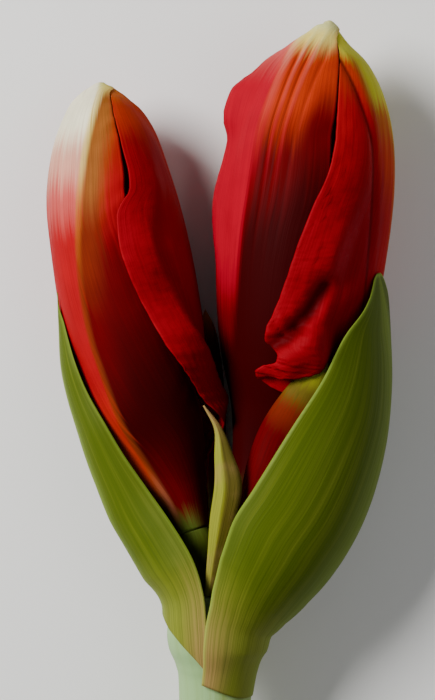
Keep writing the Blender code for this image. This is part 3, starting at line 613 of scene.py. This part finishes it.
def blade(shape, relief, grid, floor=TABLE):
    """The mesh of a thin curved blade on a form, with lifted and waved margins and fine relief."""
    length = form_length(shape.form)

    def place(across, along):
        share = curve(shape.pace, along)
        share = share + curve(shape.base, across) * (1 - along) ** 3
        high, low = curve(shape.high, share), curve(shape.low, share)
        angle = high + (low - high) * across
        width = np.maximum(smooth(shape.form, share)[:, 3], 0.5)
        hold, fade = shape.reach
        size, waves = shape.wave
        offset = curve(shape.layer, share)
        bare = on_form(shape.form, share, angle)
        first, last = shape.pace[0][1], shape.pace[-1][1]
        from_high, by_high = from_margin(shape.form, shape.high, first, last, bare)
        from_low, by_low = from_margin(shape.form, shape.low, first, last, bare)
        for away, beside, lift in ((from_high, by_high, shape.high_lift), (from_low, by_low, shape.low_lift)):
            near = 1 - ease((away - hold) / fade)
            wave = 1 + 0.5 * size * np.sin(2 * math.pi * waves * beside) * near ** 2
            offset = offset + curve(lift, beside) * near * wave
        from_keel = (curve(relief.keel, share) - angle) * np.radians(1.0) * width
        for middle, half, heights, _ in relief.ridges:
            offset = offset + curve(heights, share) * np.exp(-((from_keel - middle) / half) ** 2)
        away, beside = (from_high, by_high) if relief.edge == "high" else (from_low, by_low)
        offset = offset + creases(beside, away, length, relief)
        facing = ease(np.sin(np.radians(angle)) / FOLDS_FADE)
        fold = np.zeros(len(bare))
        for line, half, height in relief.folds:
            fold = fold + height * np.exp(-(from_line(bare, line) / half) ** 2) * facing
        offset = offset + fold
        points = bare + outward(shape.form, share, angle) * offset[:, None]
        margin = np.minimum(from_high, from_low)
        hood = relief.hood * ease((share - HOOD_START) / HOOD_FADE)
        inland = ease(margin / EDGE_TAPER) * ease(along / BASE_TAPER)
        wall = EDGE_WALL + (1 - EDGE_WALL) * inland * (1 - hood)
        fields = {"keel": from_keel, "margin": margin, "share": share, "across": across, "wall": wall}
        return points, fields | ({"fold": fold} if relief.folds else {})

    return wrapped_grid(*grid, place, floor)


def close_ends(bm):
    """Fills the open ends of a tube."""
    bmesh.ops.holes_fill(bm, edges=[edge for edge in bm.edges if edge.is_boundary], sides=0)
    bmesh.ops.recalc_face_normals(bm, faces=bm.faces[:])
    return bm


def rod(form, sides, rows, fold=0.0):
    """The mesh of a solid stem or a closed bud: a form's whole surface, with a fold along its front."""
    def place(across, along):
        points = on_form(form, along, 360.0 * (1 - across))
        crest = fold * np.exp(-((across - FOLD) / FOLD_WIDTH) ** 2) * np.sin(math.pi * along)
        points = points + outward(form, along, 360.0 * (1 - across)) * crest[:, None]
        return points, {"share": along, "across": across}

    return close_ends(wrapped_grid(rows, sides, place))


def hollow_rod(form, bore, sides, rows, bore_rows):
    """The mesh of a stem that is hollow from its cut end: up the bore's wall, then up the outer one."""
    def place(across, along):
        row = np.rint(along * rows)
        inside = row <= bore_rows
        deep = np.clip(1 - row / bore_rows, 0.0, 1.0)
        share = np.clip((row - bore_rows - 1) / (rows - bore_rows - 1), 0.0, 1.0)
        angle = 360.0 * (1 - across)
        points = np.where(inside[:, None], on_form(bore, deep, angle), on_form(form, share, angle))
        return points, {"share": np.where(inside, 0.0, share), "across": across, "cut": inside * 1.0}

    return close_ends(wrapped_grid(rows, sides, place))


def stalk_form(root, thickness, bud):
    """A pedicel that swells into the ovary under a bud, and meets the bud's base squarely."""
    first, second = np.array(bud[0]), np.array(bud[1])
    along = unit((second - first)[:3])
    end = first[:3] + along * STALK_SEAT
    reach = np.linalg.norm(end - np.array(root[:3])) / 3
    low, high = np.array(root[:3]) + reach * AHEAD, end - reach * along
    ovary, neck = OVARY * thickness, OVARY_NECK * thickness
    return root, (*low, thickness, thickness), (*high, ovary, ovary), (*end, neck, neck)


def inner_shape(form, middle):
    """One of the three inner tepals, which lie edge to edge inside the outer ones."""
    narrow = ((0.0, 0.9), (0.65, 1.0), (0.93, 0.55), (1.0, 0.0))
    high = tuple((share * INNER_END, middle + INNER_HALF_ANGLE * half) for share, half in narrow)
    low = tuple((share * INNER_END, middle - INNER_HALF_ANGLE * half) for share, half in narrow)
    layer = ((0.0, INNER), (0.60, INNER), (0.74, INNER + INNER_UNDER), (1.0, INNER + INNER_UNDER))
    return Petal(form, high, low, ((0.0, INNER_START), (1.0, INNER_END)), layer)


# How often the noise of a piece's streaks, veins, bands or wrinkles repeats, across it and along it.
# WRINKLES goes from the margin inwards, per millimetre, and then along it.
STREAKS = (46.0, 2.6, 1.0)
THREADS = (170.0, 6.0, 1.0)
WRINKLES = (0.14, 58.0, 1.0)
INNER_THREADS = (90.0, 5.0, 1.0)
VALVE_THREADS = (150.0, 2.0, 1.0)
VALVE_BANDS = (24.0, 1.4, 1.0)
BUD_STREAKS = (60.0, 3.0, 1.0)
BRACTEOLE_THREADS = (90.0, 3.0, 1.0)
SCAPE_STREAKS = (34.0, 1.6, 1.0)
SCAPE_THREADS = (140.0, 5.0, 1.0)


class Recipe:
    """Adds and links the nodes of one material."""

    def __init__(self, name):
        self.material = bpy.data.materials.new(name)
        self.material.use_nodes = True
        self.tree = self.material.node_tree
        self.shader = self.tree.nodes["Principled BSDF"]

    def add(self, kind, **settings):
        node = self.tree.nodes.new(kind)
        for key, value in settings.items():
            setattr(node, key, value)
        return node

    def put(self, socket, value):
        if isinstance(value, bpy.types.NodeSocket):
            self.tree.links.new(value, socket)
        else:
            socket.default_value = value

    def field(self, name):
        return self.add("ShaderNodeAttribute", attribute_name=name).outputs["Fac"]

    def place(self):
        return self.add("ShaderNodeTexCoord").outputs["Object"]

    def math(self, operation, first, second=0.0):
        node = self.add("ShaderNodeMath", operation=operation)
        self.put(node.inputs[0], first)
        self.put(node.inputs[1], second)
        return node.outputs[0]

    def fit(self, value, low, high, start=0.0, end=1.0):
        node = self.add("ShaderNodeMapRange", interpolation_type="SMOOTHSTEP")
        for name, number in (("From Min", low), ("From Max", high), ("To Min", start), ("To Max", end)):
            node.inputs[name].default_value = number
        self.put(node.inputs["Value"], value)
        return node.outputs["Result"]

    def point(self, x, y):
        node = self.add("ShaderNodeCombineXYZ")
        self.put(node.inputs["X"], x)
        self.put(node.inputs["Y"], y)
        return node.outputs[0]

    def stretched(self, vector, scale):
        node = self.add("ShaderNodeMapping")
        self.put(node.inputs["Vector"], vector)
        node.inputs["Scale"].default_value = scale
        return node.outputs[0]

    def noise(self, vector, scale, detail):
        node = self.add("ShaderNodeTexNoise")
        self.put(node.inputs["Vector"], vector)
        node.inputs["Scale"].default_value = scale
        node.inputs["Detail"].default_value = detail
        return node.outputs["Fac"]

    def ramp(self, value, stops):
        node = self.add("ShaderNodeValToRGB")
        node.color_ramp.interpolation = "EASE"
        points = node.color_ramp.elements
        points[0].position, points[0].color = stops[0][0], (*stops[0][1], 1.0)
        points[1].position, points[1].color = stops[-1][0], (*stops[-1][1], 1.0)
        for place, colour in stops[1:-1]:
            points.new(place).color = (*colour, 1.0)
        self.put(node.inputs["Fac"], value)
        return node.outputs["Color"]

    def mix(self, share, first, second):
        node = self.add("ShaderNodeMix", data_type="RGBA")
        self.put(node.inputs[0], share)
        for socket, value in ((node.inputs[6], first), (node.inputs[7], second)):
            self.put(socket, value if isinstance(value, bpy.types.NodeSocket) else (*value, 1.0))
        return node.outputs[2]

    def bump(self, height, distance, strength=1.0, under=None):
        node = self.add("ShaderNodeBump")
        node.inputs["Strength"].default_value = strength
        node.inputs["Distance"].default_value = distance
        self.put(node.inputs["Height"], height)
        if under is not None:
            self.put(node.inputs["Normal"], under)
        return node.outputs["Normal"]

    def done(self, colour, roughness, normal, **constants):
        self.put(self.shader.inputs["Base Color"], colour)
        self.put(self.shader.inputs["Roughness"], roughness)
        self.put(self.shader.inputs["Normal"], normal)
        for name, value in constants.items():
            self.shader.inputs[name.replace("_", " ")].default_value = value
        return self.material


def named(stops, colours):
    """The stops of a ramp, with the colours that their words name."""
    return [(place, getattr(colours, word)) for place, word in stops]


def tepal_material(name, dress, relief, colours):
    """Velvety tepal: colours run along the veins, paler over the keel and towards the tip. It has painted
    light on the side that faces the light, painted shade on the side turned from it, in its grooves and in
    its furrows, and a painted highlight along its margin.
    """
    recipe = Recipe(name)
    keel, margin, share, across = [recipe.field(word) for word in ("keel", "margin", "share", "across")]
    veins = recipe.point(across, share)
    streaks = recipe.noise(recipe.stretched(veins, STREAKS), 1.0, 3.0)
    threads = recipe.noise(recipe.stretched(veins, THREADS), 1.0, 2.0)
    mottle = recipe.noise(recipe.place(), 90.0, 3.0)
    uneven = recipe.math("MULTIPLY", recipe.math("SUBTRACT", streaks, 0.5), 0.09)
    along = recipe.math("ADD", share, uneven)
    flank, inner, far, midrib = [recipe.ramp(along, named(stops, colours)) for stops in
                                 (dress.flank, dress.inner, dress.far, dress.midrib)]
    side = recipe.math("ADD", keel, recipe.math("MULTIPLY", recipe.math("SUBTRACT", streaks, 0.5), 5.0))
    # flank is the tepal's colours lit, as painted light on the side that faces the light; inner and far are
    # painted shade on the side turned from it and under the neighbouring margin.
    body = recipe.mix(recipe.fit(side, *dress.turn), flank, inner)
    body = recipe.mix(recipe.fit(side, *dress.away), body, far)
    for middle, half, _, paint in relief.ridges:
        beside = recipe.math("ABSOLUTE", recipe.math("SUBTRACT", keel, middle))
        paler = recipe.fit(beside, 0.2 * half, half, abs(paint), 0.0)
        paler = recipe.math("MULTIPLY", paler, recipe.fit(share, *dress.lined))
        # Below zero a ridge is a groove, and its paint is painted shade in the groove.
        if paint < 0:
            paler = recipe.math("MULTIPLY", paler, recipe.fit(share, 0.74, 0.82, 1.0, 0.0))
        body = recipe.mix(paler, body, midrib if paint > 0 else colours.dark_red)
    # A painted highlight along the margin.
    rim = recipe.fit(margin, 0.1, 1.2, 0.22, 0.0)
    body = recipe.mix(rim, body, getattr(colours, dress.rim))
    if relief.folds:
        # Painted shade in the furrows of the folds.
        body = recipe.mix(recipe.fit(recipe.field("fold"), -2.8, -0.5, 0.75, 0.0), body, colours.dark_red)
    body = recipe.mix(recipe.fit(threads, 0.35, 0.75, 0.0, 0.22), body, colours.dark_red)
    body = recipe.mix(recipe.fit(mottle, 0.3, 0.8, 0.0, 0.18), body, colours.dark_red)
    roughness = recipe.fit(threads, 0.2, 0.8, 0.50, 0.66)
    normal = recipe.bump(streaks, 0.0004, 0.22)
    normal = recipe.bump(threads, 0.0001, 0.35, normal)
    if relief.wrinkles:
        across_veins = recipe.stretched(recipe.point(margin, share), WRINKLES)
        wrinkles = recipe.noise(across_veins, 1.0, 2.0)
        near = recipe.fit(margin, 6.0, 18.0, 1.0, 0.0)
        near = recipe.math("MULTIPLY", near, recipe.fit(share, 0.48, 0.64, 1.0, 0.0))
        normal = recipe.bump(recipe.math("MULTIPLY", wrinkles, near), 0.0012, relief.wrinkles, normal)
    return recipe.done(body, roughness, normal, Specular_IOR_Level=0.025)


def inner_material(colours):
    """Dark red velvet with faint veins, for the tepals inside."""
    recipe = Recipe("inner_tepal_red")
    share, across = recipe.field("share"), recipe.field("across")
    veins = recipe.point(across, share)
    threads = recipe.noise(recipe.stretched(veins, INNER_THREADS), 1.0, 3.0)
    body = recipe.mix(recipe.fit(threads, 0.3, 0.7), colours.dark_red, colours.deep_red)
    body = recipe.mix(recipe.fit(share, 0.70, 0.84), body, colours.orange_red)
    return recipe.done(body, recipe.fit(threads, 0.2, 0.8, 0.4, 0.55), recipe.bump(threads, 0.0003, 0.5),
                       Specular_IOR_Level=0.25)


def leaf_material(name, body_stops, meeting, painted_rim_light, colours):
    """Satin green bract with fine parallel veins, tan where it meets the other one, with a painted highlight
    along its margin and its outermost side.
    """
    recipe = Recipe(name)
    margin, share, across = [recipe.field(word) for word in ("margin", "share", "across")]
    coords = recipe.point(across, share)
    threads = recipe.noise(recipe.stretched(coords, VALVE_THREADS), 1.0, 2.0)
    blotch = recipe.noise(recipe.place(), 60.0, 3.0)
    uneven = recipe.math("MULTIPLY", recipe.math("SUBTRACT", blotch, 0.5), 0.18)
    body = recipe.ramp(recipe.math("ADD", share, uneven), named(body_stops, colours))
    close = recipe.fit(recipe.math("ABSOLUTE", recipe.math("SUBTRACT", across, meeting)), 0.0, 0.22, 0.9, 0.0)
    low = recipe.fit(recipe.math("ADD", share, recipe.math("MULTIPLY", threads, 0.2)), 0.14, 0.46, 1.0, 0.0)
    bands = recipe.noise(recipe.stretched(coords, VALVE_BANDS), 1.0, 3.0)
    body = recipe.mix(recipe.fit(bands, 0.45, 0.75, 0.0, 0.45), body, colours.base_green)
    body = recipe.mix(recipe.math("MULTIPLY", close, low), body, colours.tan)
    body = recipe.mix(recipe.fit(threads, 0.35, 0.7, 0.0, 0.38), body, colours.vein_green)
    # A painted highlight along the outermost side and along the margin.
    rim, side = painted_rim_light
    outermost = recipe.math("ABSOLUTE", recipe.math("SUBTRACT", across, 0.5))
    body = recipe.mix(recipe.fit(outermost, 0.0, 0.20, side, 0.0), body, colours.rim_green)
    body = recipe.mix(recipe.fit(margin, 0.1, 1.2, rim, 0.0), body, colours.rim_green)
    normal = recipe.bump(threads, 0.0003, 0.3)
    normal = recipe.bump(blotch, 0.0004, 0.12, normal)
    return recipe.done(body, recipe.fit(threads, 0.2, 0.8, 0.46, 0.60), normal, Specular_IOR_Level=0.07)


def bud_material(name, body_stops, colours):
    """Satin stalk or small closed bud, with faint streaks along it."""
    recipe = Recipe(name)
    share, across = recipe.field("share"), recipe.field("across")
    streaks = recipe.noise(recipe.stretched(recipe.point(across, share), BUD_STREAKS), 1.0, 3.0)
    blotch = recipe.noise(recipe.place(), 120.0, 3.0)
    uneven = recipe.math("MULTIPLY", recipe.math("SUBTRACT", streaks, 0.5), 0.16)
    body = recipe.ramp(recipe.math("ADD", share, uneven), named(body_stops, colours))
    body = recipe.mix(recipe.fit(streaks, 0.35, 0.75, 0.15, 0.45), body, colours.dark_red)
    normal = recipe.bump(streaks, 0.0003, 0.15)
    return recipe.done(body, recipe.fit(blotch, 0.2, 0.8, 0.55, 0.70), normal, Specular_IOR_Level=0.02)


def bracteole_material(colours):
    """Thin folded bract: yellow-green left of its fold, olive and tan right of it, with a tan tip. The
    yellow-green is painted light and the olive painted shade.
    """
    recipe = Recipe("bracteole_yellow_green")
    share, across = recipe.field("share"), recipe.field("across")
    threads = recipe.noise(recipe.stretched(recipe.point(across, share), BRACTEOLE_THREADS), 1.0, 2.0)
    blotch = recipe.noise(recipe.place(), 130.0, 3.0)
    # Lighter left of the fold as painted light, olive right of it as painted shade.
    right = recipe.fit(recipe.math("ADD", across, recipe.math("MULTIPLY", threads, 0.06)), FOLD, FOLD + 0.07)
    body = recipe.mix(right, colours.bract_yellow, colours.bract_olive)
    body = recipe.mix(recipe.fit(share, 0.72, 0.98, 0.0, 0.8), body, colours.tan)
    body = recipe.mix(recipe.fit(blotch, 0.45, 0.8, 0.0, 0.5), body, colours.tan)
    body = recipe.mix(recipe.fit(threads, 0.4, 0.75, 0.0, 0.4), body, colours.vein_green)
    normal = recipe.bump(threads, 0.0003, 0.4)
    return recipe.done(body, recipe.fit(blotch, 0.2, 0.8, 0.45, 0.6), normal, Specular_IOR_Level=0.15)


def scape_material(colours):
    """Waxy pale stem, greener on its right, with faint streaks along it and a pale cut end. The pale left
    side is painted light and the olive towards the right painted shade.
    """
    recipe = Recipe("scape_mint")
    share, across, cut = [recipe.field(word) for word in ("share", "across", "cut")]
    place = recipe.place()
    streaks = recipe.noise(recipe.stretched(recipe.point(across, share), SCAPE_STREAKS), 1.0, 3.0)
    threads = recipe.noise(recipe.stretched(recipe.point(across, share), SCAPE_THREADS), 1.0, 2.0)
    bloom = recipe.noise(place, 55.0, 4.0)
    # Mint on the left side is painted light, and the olive towards the right painted shade.
    aside = recipe.math("ABSOLUTE", recipe.math("SUBTRACT", across, 0.5))
    aside = recipe.math("ADD", aside, recipe.math("MULTIPLY", recipe.math("SUBTRACT", streaks, 0.5), 0.22))
    body = recipe.mix(recipe.fit(aside, 0.20, 0.36, 0.0, 0.85), colours.mint, colours.olive)
    body = recipe.mix(recipe.fit(streaks, 0.45, 0.75, 0.0, 0.3), body, colours.olive)
    body = recipe.mix(recipe.fit(bloom, 0.5, 0.8, 0.0, 0.3), body, colours.bloom)
    cells = recipe.noise(place, 700.0, 3.0)
    pith = recipe.mix(recipe.fit(cells, 0.35, 0.65), colours.mint, colours.bloom)
    body = recipe.mix(recipe.fit(cut, 0.02, 0.30), body, pith)
    normal = recipe.bump(threads, 0.0003, 0.25)
    normal = recipe.bump(cells, 0.0001, 0.2, normal)
    return recipe.done(body, recipe.fit(bloom, 0.2, 0.8, 0.42, 0.6), normal, Specular_IOR_Level=0.25)


def colour_property(name, description, default):
    return bpy.props.FloatVectorProperty(name=name, description=description, default=default, size=3,
                                         subtype="COLOR", min=0.0, max=1.0)


class AmaryllisColours(bpy.types.PropertyGroup):
    """The colours of the flower and the stage."""

    cream: colour_property("Cream", "Tips of the outer tepals", (0.80, 0.74, 0.52))
    straw: colour_property("Straw", "Keels near the tips", (0.66, 0.52, 0.12))
    lime: colour_property("Lime", "Green band at a tip", (0.50, 0.48, 0.03))
    blush: colour_property("Blush", "Streaks below the pale tips", (0.60, 0.27, 0.19))
    rose: colour_property("Rose", "Between blush and red", (0.48, 0.07, 0.06))
    nib: colour_property("Nib", "Tip of the right bud", (0.58, 0.56, 0.22))
    salmon: colour_property("Salmon", "Keel near the base", (0.34, 0.10, 0.05))
    orange: colour_property("Orange", "Beside the keels", (0.44, 0.10, 0.008))
    russet: colour_property("Russet", "Lower half of the left bud's keel", (0.17, 0.032, 0.005))
    bronze: colour_property("Bronze", "Inner half near the tip", (0.27, 0.085, 0.015))
    orange_red: colour_property("Orange red", "Upper half of a tepal", (0.42, 0.028, 0.004))
    scarlet: colour_property("Scarlet", "Body of a tepal", (0.34, 0.002, 0.006))
    rose_red: colour_property("Rose red", "Bright flank of the right bud", (0.35, 0.0, 0.013))
    crimson: colour_property("Crimson", "Waved margins", (0.25, 0.0, 0.006))
    brown_red: colour_property("Brown red", "Inner half below the tip", (0.17, 0.015, 0.003))
    deep_red: colour_property("Deep red", "Lower half of a tepal", (0.105, 0.0005, 0.002))
    # Dark red is the real dark of veins, speckles and the inner tepals, and also painted shade on the side of
    # a tepal turned from the light, low on it, in its grooves and in its furrows.
    dark_red: colour_property("Dark red", "Inside and base of a tepal", (0.030, 0.0002, 0.0006))
    leaf_green: colour_property("Leaf green", "Base of a tepal and the ovary", (0.10, 0.15, 0.02))
    valve_green: colour_property("Valve green", "Body of a spathe valve", (0.064, 0.092, 0.002))
    vein_green: colour_property("Vein green", "Veins of a spathe valve", (0.034, 0.056, 0.002))
    base_green: colour_property("Base green", "Base of a spathe valve", (0.17, 0.19, 0.018))
    # Rim green is a painted highlight along a spathe valve's margin and its outermost side.
    rim_green: colour_property("Rim green", "Bright rim of a spathe valve", (0.24, 0.34, 0.04))
    # On the bracteole, bract yellow is painted light left of its fold and bract olive painted shade right of
    # it; on the small front bud they are the real colours of its tip.
    bract_yellow: colour_property("Bract yellow", "Left of the bracteole's fold", (0.24, 0.25, 0.018))
    bract_olive: colour_property("Bract olive", "Right of the bracteole's fold", (0.13, 0.10, 0.010))
    tan: colour_property("Tan", "Where the spathe valves meet", (0.34, 0.19, 0.07))
    # Mint is painted light on the scape's left side and the pale colour of its pith; olive is its real
    # streaks and also painted shade round its right.
    mint: colour_property("Mint", "Lit side of the scape", (0.25, 0.40, 0.16))
    bloom: colour_property("Bloom", "Waxy bloom and pith of the scape", (0.48, 0.60, 0.37))
    olive: colour_property("Olive", "Streaks of the scape", (0.17, 0.23, 0.03))
    floor_grey: colour_property("Floor", "Floor of the stage", (0.84, 0.83, 0.81))


class AmaryllisSizes(bpy.types.PropertyGroup):
    """How finely the flower is built, and the stage's light."""

    rows: bpy.props.IntProperty(name="Rows", description="Faces along an outer tepal", default=140, min=20)
    columns: bpy.props.IntProperty(name="Columns", description="Faces across an outer tepal",
                                   default=80, min=10)
    key_size: bpy.props.FloatProperty(name="Key light size", description="Side of the key light",
                                      default=0.45, min=0.01, unit="LENGTH")
    key_power: bpy.props.FloatProperty(name="Key light power", description="Power of the key light",
                                       default=19.0, min=0.0, unit="POWER")
    fill_power: bpy.props.FloatProperty(name="Fill light power", description="Power of the fill light",
                                        default=1.8, min=0.0, unit="POWER")
    fill_size: bpy.props.FloatProperty(name="Fill light size", description="Side of the fill light",
                                       default=0.8, min=0.01, unit="LENGTH")
    sky_strength: bpy.props.FloatProperty(name="Sky strength", description="Strength of the sky's light",
                                          default=0.14, min=0.0, subtype="FACTOR")
    camera_height: bpy.props.FloatProperty(name="Camera height", description="Camera above the flower",
                                           default=0.95, min=0.2, unit="LENGTH")


class AMARYLLIS_OT_outer_tepals(bpy.types.Operator):
    """Builds the six outer tepals of the two large buds"""

    bl_idname = "amaryllis.outer_tepals"
    bl_label = "Outer tepals"

    def execute(self, context):
        colours = context.scene.amaryllis_colours
        sizes = context.scene.amaryllis_sizes
        for node, shape in OUTER_TEPALS.items():
            material = tepal_material(node + "_skin", DRESS[node], RELIEF[node], colours)
            mesh = blade(shape, RELIEF[node], (sizes.rows, sizes.columns))
            add_wall(finish(mesh, node.replace("outer_tepal", "petal"), material, node))
        return {"FINISHED"}


class AMARYLLIS_OT_inner_tepals(bpy.types.Operator):
    """Builds the six inner tepals that show in the slits"""

    bl_idname = "amaryllis.inner_tepals"
    bl_label = "Inner tepals"

    def execute(self, context):
        colours = context.scene.amaryllis_colours
        sizes = context.scene.amaryllis_sizes
        material = inner_material(colours)
        for side, (bud, middles) in INNER_MIDDLES.items():
            for number, middle in enumerate(middles, start=1):
                node = f"{side}_inner_tepal_{number}"
                shape = inner_shape(bud, middle)
                relief = Relief(keel=((0.0, middle), (1.0, middle)))
                mesh = blade(shape, relief, (sizes.rows // 2, sizes.columns // 3), INNER_FLOOR)
                add_wall(finish(mesh, f"{side}_inner_petal_{number}", material, node))
        return {"FINISHED"}


class AMARYLLIS_OT_spathe_valves(bpy.types.Operator):
    """Builds the two green spathe valves"""

    bl_idname = "amaryllis.spathe_valves"
    bl_label = "Spathe valves"

    def execute(self, context):
        colours = context.scene.amaryllis_colours
        sizes = context.scene.amaryllis_sizes
        stops = ((0.0, "base_green"), (0.18, "base_green"), (0.42, "valve_green"), (1.0, "valve_green"))
        for node, (shape, meeting, painted_rim_light) in VALVES.items():
            material = leaf_material(node + "_green", stops, meeting, painted_rim_light, colours)
            mesh = blade(shape, RELIEF[node], (sizes.rows, sizes.columns))
            add_wall(finish(mesh, node.replace("spathe_valve", "spathe"), material, node))
        return {"FINISHED"}


class AMARYLLIS_OT_bracteole(bpy.types.Operator):
    """Builds the slender folded bracteole between the buds"""

    bl_idname = "amaryllis.bracteole"
    bl_label = "Bracteole"

    def execute(self, context):
        colours = context.scene.amaryllis_colours
        mesh = rod(BRACTEOLE, *BRACTEOLE_GRID, fold=FOLD_HEIGHT)
        finish(mesh, "folded_bracteole", bracteole_material(colours), "bracteole")
        return {"FINISHED"}


class AMARYLLIS_OT_stalks(bpy.types.Operator):
    """Builds the four pedicels with their ovaries"""

    bl_idname = "amaryllis.stalks"
    bl_label = "Stalks"

    def execute(self, context):
        colours = context.scene.amaryllis_colours
        stops = ((0.0, "leaf_green"), (0.6, "vein_green"), (1.0, "leaf_green"))
        material = bud_material("stalk_green", stops, colours)
        for node, (root, thickness, bud) in STALKS.items():
            mesh = rod(stalk_form(root, thickness, bud), *STALK_GRID)
            finish(mesh, node.replace("stalk", "pedicel"), material, node)
        return {"FINISHED"}


class AMARYLLIS_OT_small_buds(bpy.types.Operator):
    """Builds the two small closed buds"""

    bl_idname = "amaryllis.small_buds"
    bl_label = "Small buds"

    def execute(self, context):
        colours = context.scene.amaryllis_colours
        front = ((0.0, "deep_red"), (0.48, "deep_red"), (0.62, "brown_red"), (0.73, "bract_olive"),
                 (0.82, "bract_yellow"))
        between = ((0.0, "leaf_green"), (0.25, "deep_red"), (0.72, "brown_red"), (0.94, "orange"))
        material = bud_material("small_bud_red", front, colours)
        finish(rod(THIRD_BUD, *THIRD_BUD_GRID), "small_bud_front", material, "third_bud")
        material = bud_material("small_bud_brown", between, colours)
        finish(rod(FOURTH_BUD, *FOURTH_BUD_GRID), "small_bud_between", material, "fourth_bud")
        return {"FINISHED"}


class AMARYLLIS_OT_scape(bpy.types.Operator):
    """Builds the hollow scape with its swollen top and cut end"""

    bl_idname = "amaryllis.scape"
    bl_label = "Scape"

    def execute(self, context):
        colours = context.scene.amaryllis_colours
        mesh = hollow_rod(SCAPE, SCAPE_BORE, *SCAPE_GRID)
        piece = finish(mesh, "hollow_scape", scape_material(colours), "scape")
        piece.data.set_sharp_from_angle(angle=SHARP)
        return {"FINISHED"}


class AMARYLLIS_OT_stamens(bpy.types.Operator):
    """Gives the stamens that stay as the frame has them their cream finish"""

    bl_idname = "amaryllis.stamens"
    bl_label = "Stamens"

    def execute(self, context):
        colours = context.scene.amaryllis_colours
        recipe = Recipe("anther_cream")
        grain = recipe.noise(recipe.place(), 900.0, 3.0)
        body = recipe.mix(recipe.fit(grain, 0.3, 0.7), colours.straw, colours.cream)
        material = recipe.done(body, recipe.fit(grain, 0.2, 0.8, 0.5, 0.7), recipe.bump(grain, 0.0003, 0.4))
        for node in ("left_stamens", "right_stamens"):
            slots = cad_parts[node].material_slots
            if not slots:
                raise RuntimeError(f"{node} has no material slot")
            for slot in slots:
                slot.material = material
        return {"FINISHED"}


class AMARYLLIS_OT_stage(bpy.types.Operator):
    """Sets up the pale floor, the soft lights and the camera that looks down on the flower"""

    bl_idname = "amaryllis.stage"
    bl_label = "Stage"

    def execute(self, context):
        colours = context.scene.amaryllis_colours
        sizes = context.scene.amaryllis_sizes
        bm = bmesh.new()
        bmesh.ops.create_grid(bm, x_segments=4, y_segments=4, size=FLOOR_HALF)
        recipe = Recipe("pale_floor")
        grain = recipe.noise(recipe.place(), 8.0, 3.0)
        body = recipe.mix(recipe.fit(grain, 0.2, 0.8, 0.0, 0.1), colours.floor_grey, colours.cream)
        roughness = recipe.fit(grain, 0.2, 0.8, 0.75, 0.85)
        material = recipe.done(body, roughness, recipe.bump(grain, 0.0005, 0.05))
        mesh = bpy.data.meshes.new("floor")
        bm.to_mesh(mesh)
        bm.free()
        mesh.materials.append(material)
        floor = bpy.data.objects.new("floor", mesh)
        bpy.context.scene.collection.objects.link(floor)
        middle = Vector(np.array(VIEW_MIDDLE) * MM + SHIFT)
        self.add_light("key", middle + Vector(KEY_PLACE), middle, sizes.key_size, sizes.key_power)
        self.add_light("fill", middle + Vector(FILL_PLACE), middle, sizes.fill_size, sizes.fill_power)
        world = bpy.data.worlds.new("soft_sky")
        world.use_nodes = True
        sky = world.node_tree.nodes["Background"]
        sky.inputs["Color"].default_value = SKY_COLOUR
        sky.inputs["Strength"].default_value = sizes.sky_strength
        bpy.context.scene.world = world
        camera = bpy.data.cameras.new("camera")
        camera.sensor_width = SENSOR
        camera.lens = SENSOR * sizes.camera_height / VIEW_LENGTH
        eye = bpy.data.objects.new("camera", camera)
        eye.location = middle + Vector((0.0, 0.0, sizes.camera_height))
        bpy.context.scene.collection.objects.link(eye)
        bpy.context.scene.camera = eye
        return {"FINISHED"}

    def add_light(self, name, place, target, size, power):
        light = bpy.data.lights.new(name, "AREA")
        light.size = size
        light.energy = power
        lamp = bpy.data.objects.new(name, light)
        lamp.location = place
        lamp.rotation_euler = (target - place).to_track_quat("-Z", "Y").to_euler()
        bpy.context.scene.collection.objects.link(lamp)


STEPS = (
    AMARYLLIS_OT_scape,
    AMARYLLIS_OT_stalks,
    AMARYLLIS_OT_inner_tepals,
    AMARYLLIS_OT_outer_tepals,
    AMARYLLIS_OT_small_buds,
    AMARYLLIS_OT_bracteole,
    AMARYLLIS_OT_spathe_valves,
    AMARYLLIS_OT_stamens,
    AMARYLLIS_OT_stage,
)


class AMARYLLIS_PT_sidebar(bpy.types.Panel):
    """Lists the flower's pieces and their colours"""

    bl_idname = "AMARYLLIS_PT_sidebar"
    bl_label = "Amaryllis in bud"
    bl_space_type = "VIEW_3D"
    bl_region_type = "UI"
    bl_category = "Amaryllis"

    def draw(self, context):
        for step in STEPS:
            self.layout.operator(step.bl_idname)
        for group in (context.scene.amaryllis_sizes, context.scene.amaryllis_colours):
            box = self.layout.box()
            for name in group.__annotations__:
                box.prop(group, name)


CLASSES = (AmaryllisColours, AmaryllisSizes, *STEPS, AMARYLLIS_PT_sidebar)


def register():
    for item in CLASSES:
        bpy.utils.register_class(item)
    bpy.types.Scene.amaryllis_colours = bpy.props.PointerProperty(type=AmaryllisColours)
    bpy.types.Scene.amaryllis_sizes = bpy.props.PointerProperty(type=AmaryllisSizes)


def unregister():
    del bpy.types.Scene.amaryllis_sizes
    del bpy.types.Scene.amaryllis_colours
    for item in reversed(CLASSES):
        bpy.utils.unregister_class(item)


def main():
    register()
    bpy.ops.amaryllis.scape()
    bpy.ops.amaryllis.stalks()
    bpy.ops.amaryllis.inner_tepals()
    bpy.ops.amaryllis.outer_tepals()
    bpy.ops.amaryllis.small_buds()
    bpy.ops.amaryllis.bracteole()
    bpy.ops.amaryllis.spathe_valves()
    bpy.ops.amaryllis.stamens()
    bpy.ops.amaryllis.stage()


if __name__ == "__main__":
    main()
